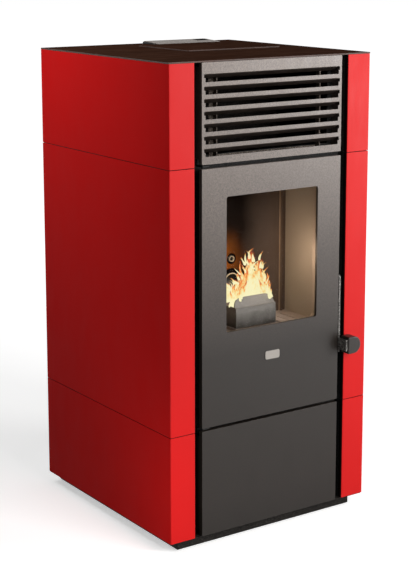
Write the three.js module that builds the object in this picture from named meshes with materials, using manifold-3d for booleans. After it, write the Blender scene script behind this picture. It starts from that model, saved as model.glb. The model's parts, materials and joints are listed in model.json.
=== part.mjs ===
// Pellet stove, built as the real one comes apart: casing, door, fire box, pellet feed, air and smoke
// sides, electrics. Millimetres, +Z up, front towards -Y, origin on the floor under the middle.
import * as THREE from "three";
import { mergeVertices } from "three/addons/utils/BufferGeometryUtils.js";
import Module from "manifold-3d";

const wasm = await Module();
wasm.setup();

// ---------------------------------------------------------------- driving dimensions
// Casing
const bodyWidth = 540;
const bodyDepth = 545;
const footHeight = 4;
const plinthHeight = 25;
const panelHeight = 1035;
const topThickness = 3;
const casingSheet = 2;
const bendRadius = 2.5;
const seamGap = 1.5;
const lowerSeamHeight = 239;
const upperSeamDrop = 219.5; // below the casing's upper edge
const stripWidth = 64;
const stripLip = 11;
const rearLip = 16;
const recessWidth = 18;
const plinthSideInset = 28.5;
const plinthFrontInset = 18;
const seat = 0.3; // gap left between two pieces that touch

// Front frame behind the fascia
const frameSetback = 30;
const frameSheet = 3;
const mouthInset = 38; // from the fascia's side edge
const mouthBottom = 262;
const mouthTopDrop = 264; // below the casing's upper edge
const frameEdge = 16;

// Fascia: grille, door and service panel. A height is above the casing's lower edge, a drop below its upper
// edge, and an inset is from the fascia's side edge.
const fasciaDepth = 11;
const fasciaSheet = 2.5;
const serviceTop = 238;
const doorBottom = 245;
const doorTopDrop = 224;
const grilleBottomDrop = 214.5;
const slotCount = 7;
const slotPitch = 26.07;
const slotHeight = 17.5;
const slotInset = 9;
const slotRelief = 3.5;
const firstSlotDrop = 24.2;
const bladeDepth = 14;
const bladeDrop = 9;
const bladeSheet = 1.2;
const postInset = 49;
const fasciaWeb = 1.8;

// Door
const windowInset = 63.5;
const windowBottom = 449.5;
const windowTopDrop = 287.5;
const windowCorner = 5;
const windowReveal = 6.7;
const glassThickness = 4;
const glassOverlap = 14;
const doorFrameThickness = 12;
const doorFrameInset = 12;
const ropeRadius = 2.9;
const hingeInset = 10;
const hingeBack = 12;
const hingePinRadius = 3.5;
const hingeRunning = 0.6;
const hingeBossLength = 34;
const hingeBossFloor = 6;
const badgeWidth = 39;
const badgeHeight = 19;
const badgeCentre = 381.5;

// Handle
const leverThickness = 4;
const leverBottom = 356;
const leverTop = 536;
const leverBar = 8;
const leverPivotBack = 15;
const leverPivotDrop = 15;
const leverPinRadius = 3;
const leverPinDepth = 15;
const knobStandOff = 32;
const knobThickness = 28;
const knobWidth = 36;
const knobHeight = 39.5;
const knobCentre = 376;
const keeperRadius = 4;

// Fire box
const chamberInset = 32; // from the fascia's side edge
const chamberDepth = 124.5;
const linerThickness = 9;
const shellWall = 4;
const shellBottom = 255;
const hearthHeight = 428;
const hearthThickness = 5;
const chamberTopDrop = 229; // below the casing's upper edge
const chuteHeight = 515;
const chuteRadius = 22.5;
const sightHeight = 570;
const sightRadius = 10;
const potHalfWidth = 55;
const potDepth = 93;
const potRearGap = 5;
const potSheet = 3;
const potSideHeight = 52;
const potFrontHeight = 72;
const potBendHeight = 39;
const potCornerRadius = 22;
const drawerHeight = 120;

// Pellet side
const lidLeft = -61;
const lidRightInset = 70; // from the right side
const lidBackInset = 93.5; // from the back
const lidLength = 212;
const lidThickness = 2.6;
const lidOverlap = 5;
const hopperSheet = 1.5;
const hopperShoulderDrop = 215; // below the casing's upper edge
const throatHeight = 590;
const throatWidth = 52;
const throatDepth = 46;
const throatBack = 357; // behind the front plane
const augerTilt = 45;
const augerLength = 212;
const augerTubeRadius = 27;
const augerTubeWall = 2.5;
const flightRadius = 22.5;
const flightPitch = 36;
const flightThickness = 2;
const tubeCap = 3; // thickness of the tube's upper end
const augerShaftRadius = 6;
const augerFootBack = 382; // behind the front plane
const augerFootHeight = 461;
const chuteWall = 1.5;

// Air, smoke and electrics
const spigotStandOff = 32;
const spigotRadius = 40;
const spigotWall = 1.5;
const spigotHeight = 171;
const spigotInset = 144; // from the left side
const fanRadius = 70;
const fanWidth = 84;
const fanAhead = 145; // ahead of the back
const fanDrop = 30; // its shaft below the spigot's axis
const fanFlangeInset = 57; // from the back
const fanSheet = 2;
const eyeRadius = 34;
const ductHalf = 42;
const ductWidth = 60;
const ductSheet = 2;
const intakeRadius = 25;
const intakeWall = 1.5;
const intakeHeight = 300;
const intakeInset = 160; // from the right side
const intakeStandOff = 20;
const blowerRadius = 32;
const blowerLength = 240;
const blowerBack = 122;
const blowerHeight = 105;
const consoleLeft = 4;
const consoleRightInset = 85; // from the right side
const consoleBackInset = 11;
const consoleDepth = 72;
const consoleRise = 4.5;
const inletInset = 120; // from the right side
const inletRise = 60;
const inletWidth = 28;
const inletHeight = 48;
const inletLip = 3;
const switchPitch = 40;
const switchWidth = 22;
const switchHeight = 30;
const boardInset = 22; // from the right side
const boardWidth = 72;
const boardHeight = 150;
const boardBase = 330;
const boardDepth = 42;

// ---------------------------------------------------------------- datum planes worked out from them
const halfWidth = bodyWidth / 2;
const frontY = -bodyDepth / 2;
const backY = bodyDepth / 2;
const panelZ = footHeight + plinthHeight;
const panelTopZ = panelZ + panelHeight;
const topZ = panelTopZ + topThickness;
const stripInner = halfWidth - stripWidth;
const fasciaHalf = stripInner - recessWidth;
const mouthHalfWidth = fasciaHalf - mouthInset;
const slotHalfLength = fasciaHalf - slotInset;
const windowHalfWidth = fasciaHalf - windowInset;
const doorFrameHalfWidth = fasciaHalf - doorFrameInset;
const chamberHalfWidth = fasciaHalf - chamberInset;
const frameY = frontY + frameSetback;
const frameBackY = frameY + frameSheet;
const frameHalf = halfWidth - casingSheet - seat;
const shellFrontY = frameBackY + seat;
const chamberRearY = shellFrontY + chamberDepth;

// ---------------------------------------------------------------- shape helpers
function bare(geometry) {
  const plain = geometry.index ? geometry.toNonIndexed() : geometry.clone();
  plain.deleteAttribute("normal");
  plain.deleteAttribute("uv");
  return plain;
}

function solidOf(geometry) {
  const merged = mergeVertices(bare(geometry), 1e-3);
  const vertProperties = new Float32Array(merged.attributes.position.array);
  const triVerts = new Uint32Array(merged.index.array);
  return new wasm.Manifold(new wasm.Mesh({ numProp: 3, vertProperties, triVerts }));
}

function geometryOf(made) {
  const { vertProperties, triVerts } = made.getMesh();
  const geometry = new THREE.BufferGeometry();
  geometry.setAttribute("position", new THREE.BufferAttribute(new Float32Array(vertProperties), 3));
  geometry.setIndex(new THREE.BufferAttribute(new Uint32Array(triVerts), 1));
  return geometry;
}

function join(first, ...others) {
  const whole = others.reduce((sum, part) => sum.add(solidOf(part)), solidOf(first));
  return geometryOf(whole);
}

function cut(first, ...tools) {
  const rest = tools.reduce((left, tool) => left.subtract(solidOf(tool)), solidOf(first));
  return geometryOf(rest);
}

function common(first, second) {
  return geometryOf(solidOf(first).intersect(solidOf(second)));
}

function block(x0, x1, y0, y1, z0, z1) {
  const geometry = new THREE.BoxGeometry(x1 - x0, y1 - y0, z1 - z0);
  return geometry.translate((x0 + x1) / 2, (y0 + y1) / 2, (z0 + z1) / 2);
}

// An outline extruded along one axis: its (u, v) are (x, y) along z, (x, z) along y and (y, z) along x.
function prism(axis, shape, from, to, arcSteps = 5) {
  const corners = Array.isArray(shape) && shape.map(([u, v]) => new THREE.Vector2(u, v));
  const outline = corners ? new THREE.Shape(corners) : shape;
  const options = { depth: to - from, bevelEnabled: false, curveSegments: arcSteps };
  const geometry = new THREE.ExtrudeGeometry(outline, options);
  if (axis === "z") return geometry.translate(0, 0, from);
  if (axis === "y") return geometry.rotateX(Math.PI / 2).translate(0, to, 0);
  const toX = new THREE.Matrix4().makeBasis(
    new THREE.Vector3(0, 1, 0),
    new THREE.Vector3(0, 0, 1),
    new THREE.Vector3(1, 0, 0),
  );
  return geometry.applyMatrix4(toX).translate(from, 0, 0);
}

function roundedShape(u0, u1, v0, v1, r) {
  const shape = new THREE.Shape();
  shape.moveTo(u0 + r, v0);
  shape.lineTo(u1 - r, v0);
  shape.absarc(u1 - r, v0 + r, r, -Math.PI / 2, 0, false);
  shape.lineTo(u1, v1 - r);
  shape.absarc(u1 - r, v1 - r, r, 0, Math.PI / 2, false);
  shape.lineTo(u0 + r, v1);
  shape.absarc(u0 + r, v1 - r, r, Math.PI / 2, Math.PI, false);
  shape.lineTo(u0, v0 + r);
  shape.absarc(u0 + r, v0 + r, r, Math.PI, 1.5 * Math.PI, false);
  return shape;
}

// A round bar along an axis through (a, b): (x, y) for z, (x, z) for y and (y, z) for x.
function bar(axis, radius, from, to, a, b, sides = 24) {
  const points = Array.from({ length: sides }, (_, i) => {
    const turn = (2 * Math.PI * i) / sides;
    return [a + radius * Math.cos(turn), b + radius * Math.sin(turn)];
  });
  return prism(axis, points, from, to);
}

function pipe(axis, radius, wall, from, to, a, b, sides = 32) {
  const bore = bar(axis, radius - wall, from - 1, to + 1, a, b, sides);
  return cut(bar(axis, radius, from, to, a, b, sides), bore);
}

// ---------------------------------------------------------------- finishes
function finish(color, roughness, metalness) {
  return new THREE.MeshStandardMaterial({ color, roughness, metalness });
}

const redEnamel = finish("#c3161c", 0.35, 0);
const greyEnamel = finish("#7d7770", 0.5, 0.3);
const topEnamel = finish("#3b2a22", 0.35, 0.2);
const blackSteel = finish("#141414", 0.6, 0.3);
const plinthSteel = finish("#33322e", 0.6, 0.3);
const castIron = finish("#3a3632", 0.7, 0.6);
const vermiculite = finish("#7a6a56", 0.9, 0);
const galvanised = finish("#9a9c9c", 0.45, 0.9);
const brightSteel = finish("#b4b6b8", 0.3, 1);
const ceramicGlass = finish("#2a2a28", 0.05, 0);
const rope = finish("#55534f", 0.95, 0);
const blackPlastic = finish("#17181a", 0.4, 0);
const consoleGrey = finish("#a8a49e", 0.4, 0);

const stove = new THREE.Group();

function add(name, geometry, material, parent = stove) {
  const mesh = new THREE.Mesh(geometry, material);
  mesh.name = name;
  parent.add(mesh);
  return mesh;
}

// ---------------------------------------------------------------- base, feet
const plinthHalf = halfWidth - plinthSideInset;
const plinthFrontY = frontY + plinthFrontInset;
const plinthBackY = backY - casingSheet - seat;
const flangeZ = panelZ - seat - casingSheet;
const footInset = 34;
const footPadRadius = 18;
const footStemRadius = 4;
const footStemRise = 12;
const footEdge = 1.2;
const footX = plinthHalf - footInset;
const footFrontY = plinthFrontY + footInset;
const footBackY = plinthBackY - footInset;

function basePan() {
  const outer = block(-plinthHalf, plinthHalf, plinthFrontY, plinthBackY, footHeight, panelZ - seat);
  const flangeFrontY = frontY + casingSheet + seat;
  const flange = block(-frameHalf, frameHalf, flangeFrontY, plinthBackY, flangeZ, panelZ - seat);
  const hollow = block(
    -plinthHalf + casingSheet,
    plinthHalf - casingSheet,
    plinthFrontY + casingSheet,
    plinthBackY - casingSheet,
    footHeight + casingSheet,
    panelZ + 1,
  );
  const stems = [-footX, footX].flatMap((x) =>
    [footFrontY, footBackY].map((y) => bar("z", footStemRadius + seat, 0, panelZ, x, y, 16)),
  );
  return cut(join(outer, flange), hollow, ...stems);
}

function foot(x, y) {
  const stemTop = footHeight + casingSheet + footStemRise;
  const padTop = footHeight - seat;
  const profile = [
    [0, 0],
    [footPadRadius - footEdge, 0],
    [footPadRadius, footEdge],
    [footPadRadius, padTop],
    [footStemRadius, padTop],
    [footStemRadius, stemTop],
    [0, stemTop],
  ];
  const turned = new THREE.LatheGeometry(
    profile.map(([r, z]) => new THREE.Vector2(r, z)),
    10,
  );
  return turned.rotateX(Math.PI / 2).translate(x, y, 0);
}

add("base_pan", basePan(), plinthSteel);
add("levelling_foot_front_left", foot(-footX, footFrontY), blackPlastic);
add("levelling_foot_front_right", foot(footX, footFrontY), blackPlastic);
add("levelling_foot_rear_left", foot(-footX, footBackY), blackPlastic);
add("levelling_foot_rear_right", foot(footX, footBackY), blackPlastic);

// ---------------------------------------------------------------- red side casing
// Section of one side, seen from above: rear lip, side, rounded front corner, front strip, inward lip.
function sideSection(side) {
  const section = new THREE.Shape();
  const out = side * halfWidth;
  const inn = side * (halfWidth - casingSheet);
  const lip = side * stripInner;
  const lipIn = side * (stripInner + casingSheet);
  const r = bendRadius;
  const arc = (cx, cy, from, to) =>
    [0, 1, 2, 3].forEach((i) => {
      const turn = from + ((to - from) * i) / 3;
      section.lineTo(side * (cx + r * Math.cos(turn)), cy + r * Math.sin(turn));
    });
  section.moveTo(side * (halfWidth - rearLip), backY);
  section.lineTo(out, backY);
  arc(halfWidth - r, frontY + r, 0, -Math.PI / 2);
  arc(stripInner + r, frontY + r, -Math.PI / 2, -Math.PI);
  section.lineTo(lip, frontY + stripLip);
  section.lineTo(lipIn, frontY + stripLip);
  section.lineTo(lipIn, frontY + casingSheet);
  section.lineTo(inn, frontY + casingSheet);
  section.lineTo(inn, backY - casingSheet);
  section.lineTo(side * (halfWidth - rearLip), backY - casingSheet);
  return section;
}

const lowerSeamZ = panelZ + lowerSeamHeight;
const upperSeamZ = panelTopZ - upperSeamDrop;
const casingRows = [
  ["lower", panelZ, lowerSeamZ - seamGap / 2],
  ["middle", lowerSeamZ + seamGap / 2, upperSeamZ - seamGap / 2],
  ["upper", upperSeamZ + seamGap / 2, panelTopZ - seat],
];
for (const [row, from, to] of casingRows) {
  add(`side_panel_left_${row}`, prism("z", sideSection(-1), from, to), redEnamel);
  add(`side_panel_right_${row}`, prism("z", sideSection(1), from, to), redEnamel);
}

// ---------------------------------------------------------------- front frame
const mouthBottomZ = panelZ + mouthBottom;
const mouthTopZ = panelTopZ - mouthTopDrop;
const grilleBottomZ = panelTopZ - grilleBottomDrop;
const outletBottomZ = grilleBottomZ + frameEdge;
const outletTopZ = panelTopZ - frameEdge;
const outletHalf = fasciaHalf - frameEdge;
const latchSlotLeft = fasciaHalf + 3;
const latchSlotRight = stripInner - 4;
const latchSlotFall = 32;
const latchSlotRise = 10;
const pivotZ = panelZ + leverTop - leverPivotDrop;
const pivotY = frontY + leverPivotBack;
const latchSlotBottomZ = pivotZ - latchSlotFall;
const latchSlotTopZ = pivotZ + latchSlotRise;

function frontFrame() {
  const plate = block(-frameHalf, frameHalf, frameY, frameBackY, panelZ, panelTopZ - seat);
  const columns = [-1, 1].map((side) => {
    const near = side * stripInner;
    const far = side * (stripInner + casingSheet);
    const fromY = frontY + stripLip + seat;
    return block(Math.min(near, far), Math.max(near, far), fromY, frameY + 1, panelZ, panelTopZ - seat);
  });
  const hole = (x0, x1, z0, z1) => block(x0, x1, frameY - 1, frameBackY + 1, z0, z1);
  const mouth = hole(-mouthHalfWidth, mouthHalfWidth, mouthBottomZ, mouthTopZ);
  const outlet = hole(-outletHalf, outletHalf, outletBottomZ, outletTopZ);
  const serviceHoleTopZ = panelZ + serviceTop - 2 * frameEdge;
  const serviceHole = hole(-outletHalf, outletHalf, panelZ + frameEdge, serviceHoleTopZ);
  const latchSlot = hole(latchSlotLeft, latchSlotRight, latchSlotBottomZ, latchSlotTopZ);
  return cut(join(plate, ...columns), mouth, outlet, serviceHole, latchSlot);
}

add("front_frame", frontFrame(), blackSteel);

// ---------------------------------------------------------------- top plate, rear panel
const lidRight = halfWidth - lidRightInset;
const lidBackY = backY - lidBackInset;
const lidFrontY = lidBackY - lidLength;
const lidZ = topZ + seat;
const lidRim = 2;
const lidRunning = 0.4;
const mouthLeftX = lidLeft + lidOverlap;
const mouthRightX = lidRight - lidOverlap;
const hopperFrontY = lidFrontY + lidOverlap;
const hopperBackY = lidBackY - lidOverlap;
const lidAxisY = lidBackY + 5;
const lidAxisZ = topZ - topThickness;
const lidPinRadius = 1.3;
const knuckleRadius = 2.8;
const hingeTab = 40;
const hingeTabInset = 22;
const lidTabs = [
  [lidLeft + hingeTabInset, lidLeft + hingeTabInset + hingeTab],
  [lidRight - hingeTabInset - hingeTab, lidRight - hingeTabInset],
];

function topPlate() {
  const plate = block(-halfWidth, halfWidth, frontY, backY, panelTopZ, topZ);
  const earWidth = 8;
  const earHalf = 4;
  const earDrop = 5;
  const earBottomZ = panelTopZ - earDrop;
  const ears = lidTabs.flatMap(([x0, x1]) =>
    [x0 - earWidth - 1, x1 + 1].map((x) =>
      block(x, x + earWidth, lidAxisY - earHalf, lidAxisY + earHalf, earBottomZ, panelTopZ + 1),
    ),
  );
  const hopperHole = block(mouthLeftX, mouthRightX, hopperFrontY, hopperBackY, panelTopZ - 1, topZ + 1);
  const hingeHoles = lidTabs.map(([x0, x1]) =>
    block(x0 - 1, x1 + 1, hopperBackY - 1, lidAxisY + knuckleRadius + 1, panelTopZ - 1, topZ + 1),
  );
  const groove = bar("x", lidPinRadius + seat, lidLeft, lidRight, lidAxisY, lidAxisZ, 12);
  return cut(join(plate, ...ears), hopperHole, ...hingeHoles, groove);
}

function hopperLid() {
  const corner = 4;
  const outline = roundedShape(lidLeft, lidRight, lidFrontY, lidBackY, corner);
  const plate = prism("z", outline, lidZ, lidZ + lidThickness, 3);
  const rimBlock = (inset, z0, z1) =>
    block(mouthLeftX + inset, mouthRightX - inset, hopperFrontY + inset, hopperBackY - inset, z0, z1);
  const rim = cut(rimBlock(1, panelTopZ, lidZ + 1), rimBlock(1 + lidRim, panelTopZ - 1, lidZ));
  const knuckleTop = lidAxisZ + knuckleRadius - lidRunning;
  const tabs = lidTabs.flatMap(([x0, x1]) => [
    block(x0 + 1, x1 - 1, lidBackY - knuckleRadius, lidBackY, lidAxisZ - 1, lidZ + 1),
    block(x0 + 1, x1 - 1, lidBackY - 1, lidAxisY, lidAxisZ - 1, knuckleTop),
  ]);
  const round = (radius, x0, x1) => bar("x", radius, x0, x1, lidAxisY, lidAxisZ, 14);
  const knuckles = lidTabs.map(([x0, x1]) => round(knuckleRadius, x0 + 1, x1 - 1));
  const bore = round(lidPinRadius + lidRunning, lidLeft, lidRight);
  return cut(join(plate, rim, ...tabs, ...knuckles), bore);
}

const spigotX = -halfWidth + spigotInset;
const spigotZ = spigotHeight + panelZ;
const intakeX = halfWidth - intakeInset;
const intakeZ = intakeHeight + panelZ;
const inletX = halfWidth - inletInset;
const inletZ = panelZ + inletRise;
const switchX = inletX + switchPitch;
const rearPanelY = backY - casingSheet - seat;

// A block from y0 to y1 of a width and a height set about a middle.
function centred(x, z, width, height, y0, y1) {
  return block(x - width / 2, x + width / 2, y0, y1, z - height / 2, z + height / 2);
}

function rearPanel() {
  const from = rearPanelY - casingSheet;
  const through = [from - 1, backY];
  const plate = block(-frameHalf, frameHalf, from, rearPanelY, panelZ, panelTopZ - seat);
  const flueHole = bar("y", spigotRadius + 1, ...through, spigotX, spigotZ, 28);
  const airHole = bar("y", intakeRadius + 1, ...through, intakeX, intakeZ, 24);
  const inletHole = centred(inletX, inletZ, inletWidth + 2 * seat, inletHeight + 2 * seat, ...through);
  const switchHole = centred(switchX, inletZ, switchWidth + 2 * seat, switchHeight + 2 * seat, ...through);
  const ventLength = 86;
  const ventHeight = 5;
  const ventCorner = 2;
  const ventPitch = 15;
  const ventRows = 5;
  const ventInset = 120;
  const ventBase = 640;
  const vents = [];
  for (const x of [-halfWidth + ventInset, halfWidth - ventInset]) {
    for (let row = 0; row < ventRows; row += 1) {
      const z = panelZ + ventBase + row * ventPitch;
      const half = ventLength / 2;
      vents.push(prism("y", roundedShape(x - half, x + half, z, z + ventHeight, ventCorner), ...through, 1));
    }
  }
  return cut(plate, flueHole, airHole, inletHole, switchHole, ...vents);
}

add("top_plate", topPlate(), topEnamel);
add("hopper_lid", hopperLid(), topEnamel);
const lidPin = bar("x", lidPinRadius, lidLeft + lidOverlap, lidRight - lidOverlap, lidAxisY, lidAxisZ, 12);
add("lid_hinge_pin", lidPin, brightSteel);
add("rear_panel", rearPanel(), galvanised);

// ---------------------------------------------------------------- fascia
// A folded pan: a front sheet with its edges turned back, open behind.
function pan(fromZ, toZ) {
  const corner = 1.5;
  const outline = roundedShape(-fasciaHalf, fasciaHalf, fromZ, toZ, corner);
  const outer = prism("y", outline, frontY, frontY + fasciaDepth, 2);
  const hollow = block(
    -fasciaHalf + fasciaSheet,
    fasciaHalf - fasciaSheet,
    frontY + fasciaSheet,
    frontY + fasciaDepth + 1,
    fromZ + fasciaSheet,
    toZ - fasciaSheet,
  );
  return cut(outer, hollow);
}

// Two webs that reach back from a fixed pan to the front frame.
function mountingWebs(fromZ, toZ) {
  const sunk = 0.5; // into the pan's wall
  const outer = fasciaHalf - fasciaSheet + sunk;
  return [-1, 1].map((side) => {
    const [x0, x1] = side < 0 ? [-outer, -outer + fasciaWeb] : [outer - fasciaWeb, outer];
    return block(x0, x1, frontY + fasciaSheet - sunk, frameY - seat, fromZ, toZ);
  });
}

const serviceTopZ = panelZ + serviceTop;
const doorBottomZ = panelZ + doorBottom;
const doorTopZ = panelTopZ - doorTopDrop;
const grilleTopZ = panelTopZ - 2 * seat;

function airGrille() {
  const webInset = 10;
  const slots = [];
  const blades = [];
  for (let i = 0; i < slotCount; i += 1) {
    const top = panelTopZ - firstSlotDrop - i * slotPitch;
    const bottom = top - slotHeight;
    const relief = top - slotHeight / 2;
    slots.push(
      block(-slotHalfLength, slotHalfLength, frontY - 1, frontY + fasciaSheet + 1, bottom, top),
      block(
        -slotHalfLength - slotRelief,
        slotHalfLength + slotRelief,
        frontY - 1,
        frontY + fasciaSheet + 1,
        relief,
        top - 1,
      ),
    );
    const blade = [
      [frontY + 0.6, top + 0.8],
      [frontY + 0.6, top - 0.4],
      [frontY + bladeDepth, top - bladeDrop - bladeSheet],
      [frontY + bladeDepth + 0.7, top - bladeDrop],
      [frontY + fasciaSheet, top + 0.8],
    ];
    blades.push(prism("x", blade, -slotHalfLength, slotHalfLength));
  }
  const webs = mountingWebs(grilleBottomZ + webInset, grilleTopZ - webInset);
  return join(cut(pan(grilleBottomZ, grilleTopZ), ...slots), ...blades, ...webs);
}

// Stiffener of the air outlet: two upright angles on cross straps, screwed to the front frame.
function louvreStiffener() {
  const sheet = 1.5;
  const leg = 12;
  const front = frontY + bladeDepth + 2;
  const rear = frameY - seat;
  const z0 = outletBottomZ - frameEdge / 2;
  const z1 = outletTopZ + frameEdge / 2;
  const strap = 7;
  const postOffset = fasciaHalf - postInset;
  const reach = postOffset + leg;
  const straps = [
    [z0, z0 + strap],
    [z1 - strap, z1],
  ].map(([a, b]) => block(-reach, reach, rear - sheet, rear, a, b));
  const angles = [-1, 1].flatMap((side) => {
    const x = side * postOffset;
    const [x0, x1] = side < 0 ? [x - leg, x] : [x, x + leg];
    const post = block(x - sheet / 2, x + sheet / 2, front, rear, z0, z1);
    return [post, block(x0, x1, rear - sheet, rear, z0, z1)];
  });
  return join(...straps, ...angles);
}

function servicePanel() {
  const webInset = 14;
  return join(pan(panelZ, serviceTopZ), ...mountingWebs(panelZ + webInset, serviceTopZ - webInset));
}

add("air_grille", airGrille(), greyEnamel);
add("louvre_stiffener", louvreStiffener(), galvanised);
add("service_panel", servicePanel(), greyEnamel);

// ---------------------------------------------------------------- door
const hingeX = -fasciaHalf + hingeInset;
const hingeY = frontY + hingeBack;
const windowBottomZ = panelZ + windowBottom;
const windowTopZ = panelTopZ - windowTopDrop;
const glassFrontY = frontY + windowReveal + seat;
const glassRearY = glassFrontY + glassThickness;
const doorFrameFrontY = Math.max(glassRearY, frontY + fasciaDepth) + seat;
const doorFrameRearY = doorFrameFrontY + doorFrameThickness;
const doorFrameDrop = 6; // inside the door's edges
const doorFrameBottomZ = doorBottomZ + doorFrameDrop;
const doorFrameTopZ = doorTopZ - doorFrameDrop;
const hingeBoreRadius = hingePinRadius + hingeRunning;

function doorFront() {
  const rimWall = 2;
  const open = roundedShape(-windowHalfWidth, windowHalfWidth, windowBottomZ, windowTopZ, windowCorner);
  const rim = roundedShape(
    -windowHalfWidth - rimWall,
    windowHalfWidth + rimWall,
    windowBottomZ - rimWall,
    windowTopZ + rimWall,
    windowCorner + rimWall,
  );
  const whole = join(pan(doorBottomZ, doorTopZ), prism("y", rim, frontY + 0.5, frontY + windowReveal));
  const pinWay = bar("z", hingeBoreRadius + 1.5, doorBottomZ - 1, doorTopZ + 1, hingeX, hingeY, 16);
  return cut(whole, prism("y", open, frontY - 1, frontY + windowReveal + 1), pinWay);
}

function doorGlass() {
  const pane = roundedShape(
    -windowHalfWidth - glassOverlap,
    windowHalfWidth + glassOverlap,
    windowBottomZ - glassOverlap,
    windowTopZ + glassOverlap,
    3,
  );
  return prism("y", pane, glassFrontY, glassRearY, 2);
}

// Cast inner frame: holds the pane from behind, carries the hinge bosses and the lever's pin.
function doorFrame() {
  const lap = 5;
  const corner = 6;
  const recessCorner = 12;
  const recessFloor = 4;
  const lowerBand = 30;
  const upperBand = 40;
  const half = doorFrameHalfWidth;
  const open = windowHalfWidth + lap;
  const [front, rear] = [doorFrameFrontY, doorFrameRearY];
  const outline = roundedShape(-half, half, doorFrameBottomZ, doorFrameTopZ, corner);
  const border = prism("y", outline, front, rear, 2);
  const sight = roundedShape(-open, open, windowBottomZ - lap, windowTopZ + lap, windowCorner + lap);
  const recessBottomZ = doorFrameBottomZ + lowerBand;
  const recess = roundedShape(-open, open, recessBottomZ, windowBottomZ - upperBand, recessCorner);
  const post = (radius, z0, z1) => bar("z", radius, z0, z1, hingeX, hingeY, 16);
  const bossRadius = hingeBoreRadius + 2;
  const bosses = [
    post(bossRadius, doorBottomZ + fasciaSheet + 1, doorBottomZ + hingeBossLength),
    post(bossRadius, doorTopZ - hingeBossLength, doorTopZ - fasciaSheet - 1),
  ];
  const boreDepth = hingeBossLength - hingeBossFloor;
  const bores = [
    post(hingeBoreRadius, doorBottomZ - 1, doorBottomZ + boreDepth),
    post(hingeBoreRadius, doorTopZ - boreDepth, doorTopZ + 1),
  ];
  const leverBore = bar("x", leverPinRadius + seat, half - leverPinDepth - 1, half + 1, pivotY, pivotZ, 12);
  return cut(
    join(border, ...bosses),
    prism("y", sight, front - 1, rear + 1, 3),
    prism("y", recess, front - 1, rear - recessFloor, 3),
    ...bores,
    leverBore,
  );
}

// Braided seal pressed between the inner frame and the front frame.
function doorRope() {
  const y = doorFrameRearY + seat + ropeRadius;
  const inset = 9;
  const half = doorFrameHalfWidth - inset;
  const bottom = doorFrameBottomZ + inset;
  const top = doorFrameTopZ - inset;
  const r = ropeRadius;
  const corner = 12;
  const loop = (inside) => {
    const reach = half - inside;
    return roundedShape(-reach, reach, bottom + inside, top - inside, corner - inside);
  };
  return cut(prism("y", loop(0), y - r, y + r, 4), prism("y", loop(2 * r), y - r - 1, y + r + 1, 4));
}

function hingeBracket(upper) {
  const sheet = 3;
  const gapMiddle = upper ? (doorTopZ + grilleBottomZ) / 2 : (serviceTopZ + doorBottomZ) / 2;
  const z0 = gapMiddle - sheet / 2;
  const z1 = gapMiddle + sheet / 2;
  const leg = 34;
  const tabOut = hingePinRadius + 1.5;
  const tabIn = 12;
  const tabFront = 7;
  const rear = frameY - seat;
  const tab = block(hingeX - tabOut, hingeX + tabIn, hingeY - tabFront, rear, z0, z1);
  const [leg0, leg1] = upper ? [z0, z1 + leg] : [z0 - leg, z1];
  const upright = block(hingeX - tabOut, hingeX + tabIn, rear - sheet, rear, leg0, leg1);
  const pinLength = hingeBossLength - 10;
  const [pin0, pin1] = upper ? [doorTopZ - pinLength, z0 + 1] : [z1 - 1, doorBottomZ + pinLength];
  return join(tab, upright, bar("z", hingePinRadius, pin0, pin1, hingeX, hingeY, 16));
}

add("door_front", doorFront(), greyEnamel);
add("door_glass", doorGlass(), ceramicGlass);
add("door_frame", doorFrame(), castIron);
add("door_rope_seal", doorRope(), rope);
add("hinge_bracket_upper", hingeBracket(true), blackSteel);
add("hinge_bracket_lower", hingeBracket(false), blackSteel);

const badgeZ = panelZ + badgeCentre;
const badgeThickness = 1.2;
const badgeCorner = 4;

function badgePlate() {
  const halfWide = badgeWidth / 2;
  const halfHigh = badgeHeight / 2;
  const outline = roundedShape(-halfWide, halfWide, badgeZ - halfHigh, badgeZ + halfHigh, badgeCorner);
  return prism("y", outline, frontY - seat - badgeThickness, frontY - seat, 4);
}

add("badge_plate", badgePlate(), brightSteel);

// ---------------------------------------------------------------- handle
const leverX = fasciaHalf + 2;
const leverBottomZ = panelZ + leverBottom;
const leverTopZ = panelZ + leverTop;
const knobZ = panelZ + knobCentre;
const knobFrontY = frontY - knobStandOff;
const latchX = leverX + leverThickness + seat;
const latchThickness = 3;
const keeperY = frameBackY + keeperRadius + 2;
const keeperZ = pivotZ + keeperRadius + 2;

// Bore of the lever's pin through a plate between x0 and x1.
function pinBore(x0, x1) {
  return bar("x", leverPinRadius + seat, x0 - 1, x1 + 1, pivotY, pivotZ, 12);
}

function handleLever() {
  const tabHalf = 13;
  const tabInset = 4; // of its tip behind the knob's front
  const lugReach = 7;
  const lugDrop = 8;
  const flareDrop = 26;
  const corner = 5;
  const side = new THREE.Shape();
  const front = frontY;
  const back = frontY + leverBar;
  const lugBack = pivotY + lugReach;
  const tabTip = knobFrontY + tabInset;
  side.moveTo(front, leverBottomZ);
  side.lineTo(back, leverBottomZ);
  side.lineTo(back, pivotZ - flareDrop);
  side.quadraticCurveTo(back, pivotZ - flareDrop / 2, lugBack, pivotZ - lugDrop);
  side.lineTo(lugBack, leverTopZ);
  side.lineTo(front + corner, leverTopZ);
  side.absarc(front + corner, leverTopZ - corner, corner, Math.PI / 2, Math.PI, false);
  side.lineTo(front, knobZ + tabHalf);
  side.lineTo(tabTip, knobZ + tabHalf);
  side.lineTo(tabTip, knobZ - tabHalf);
  side.lineTo(front, knobZ - tabHalf);
  const x1 = leverX + leverThickness;
  return cut(prism("x", side, leverX, x1), pinBore(leverX, x1));
}

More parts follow.
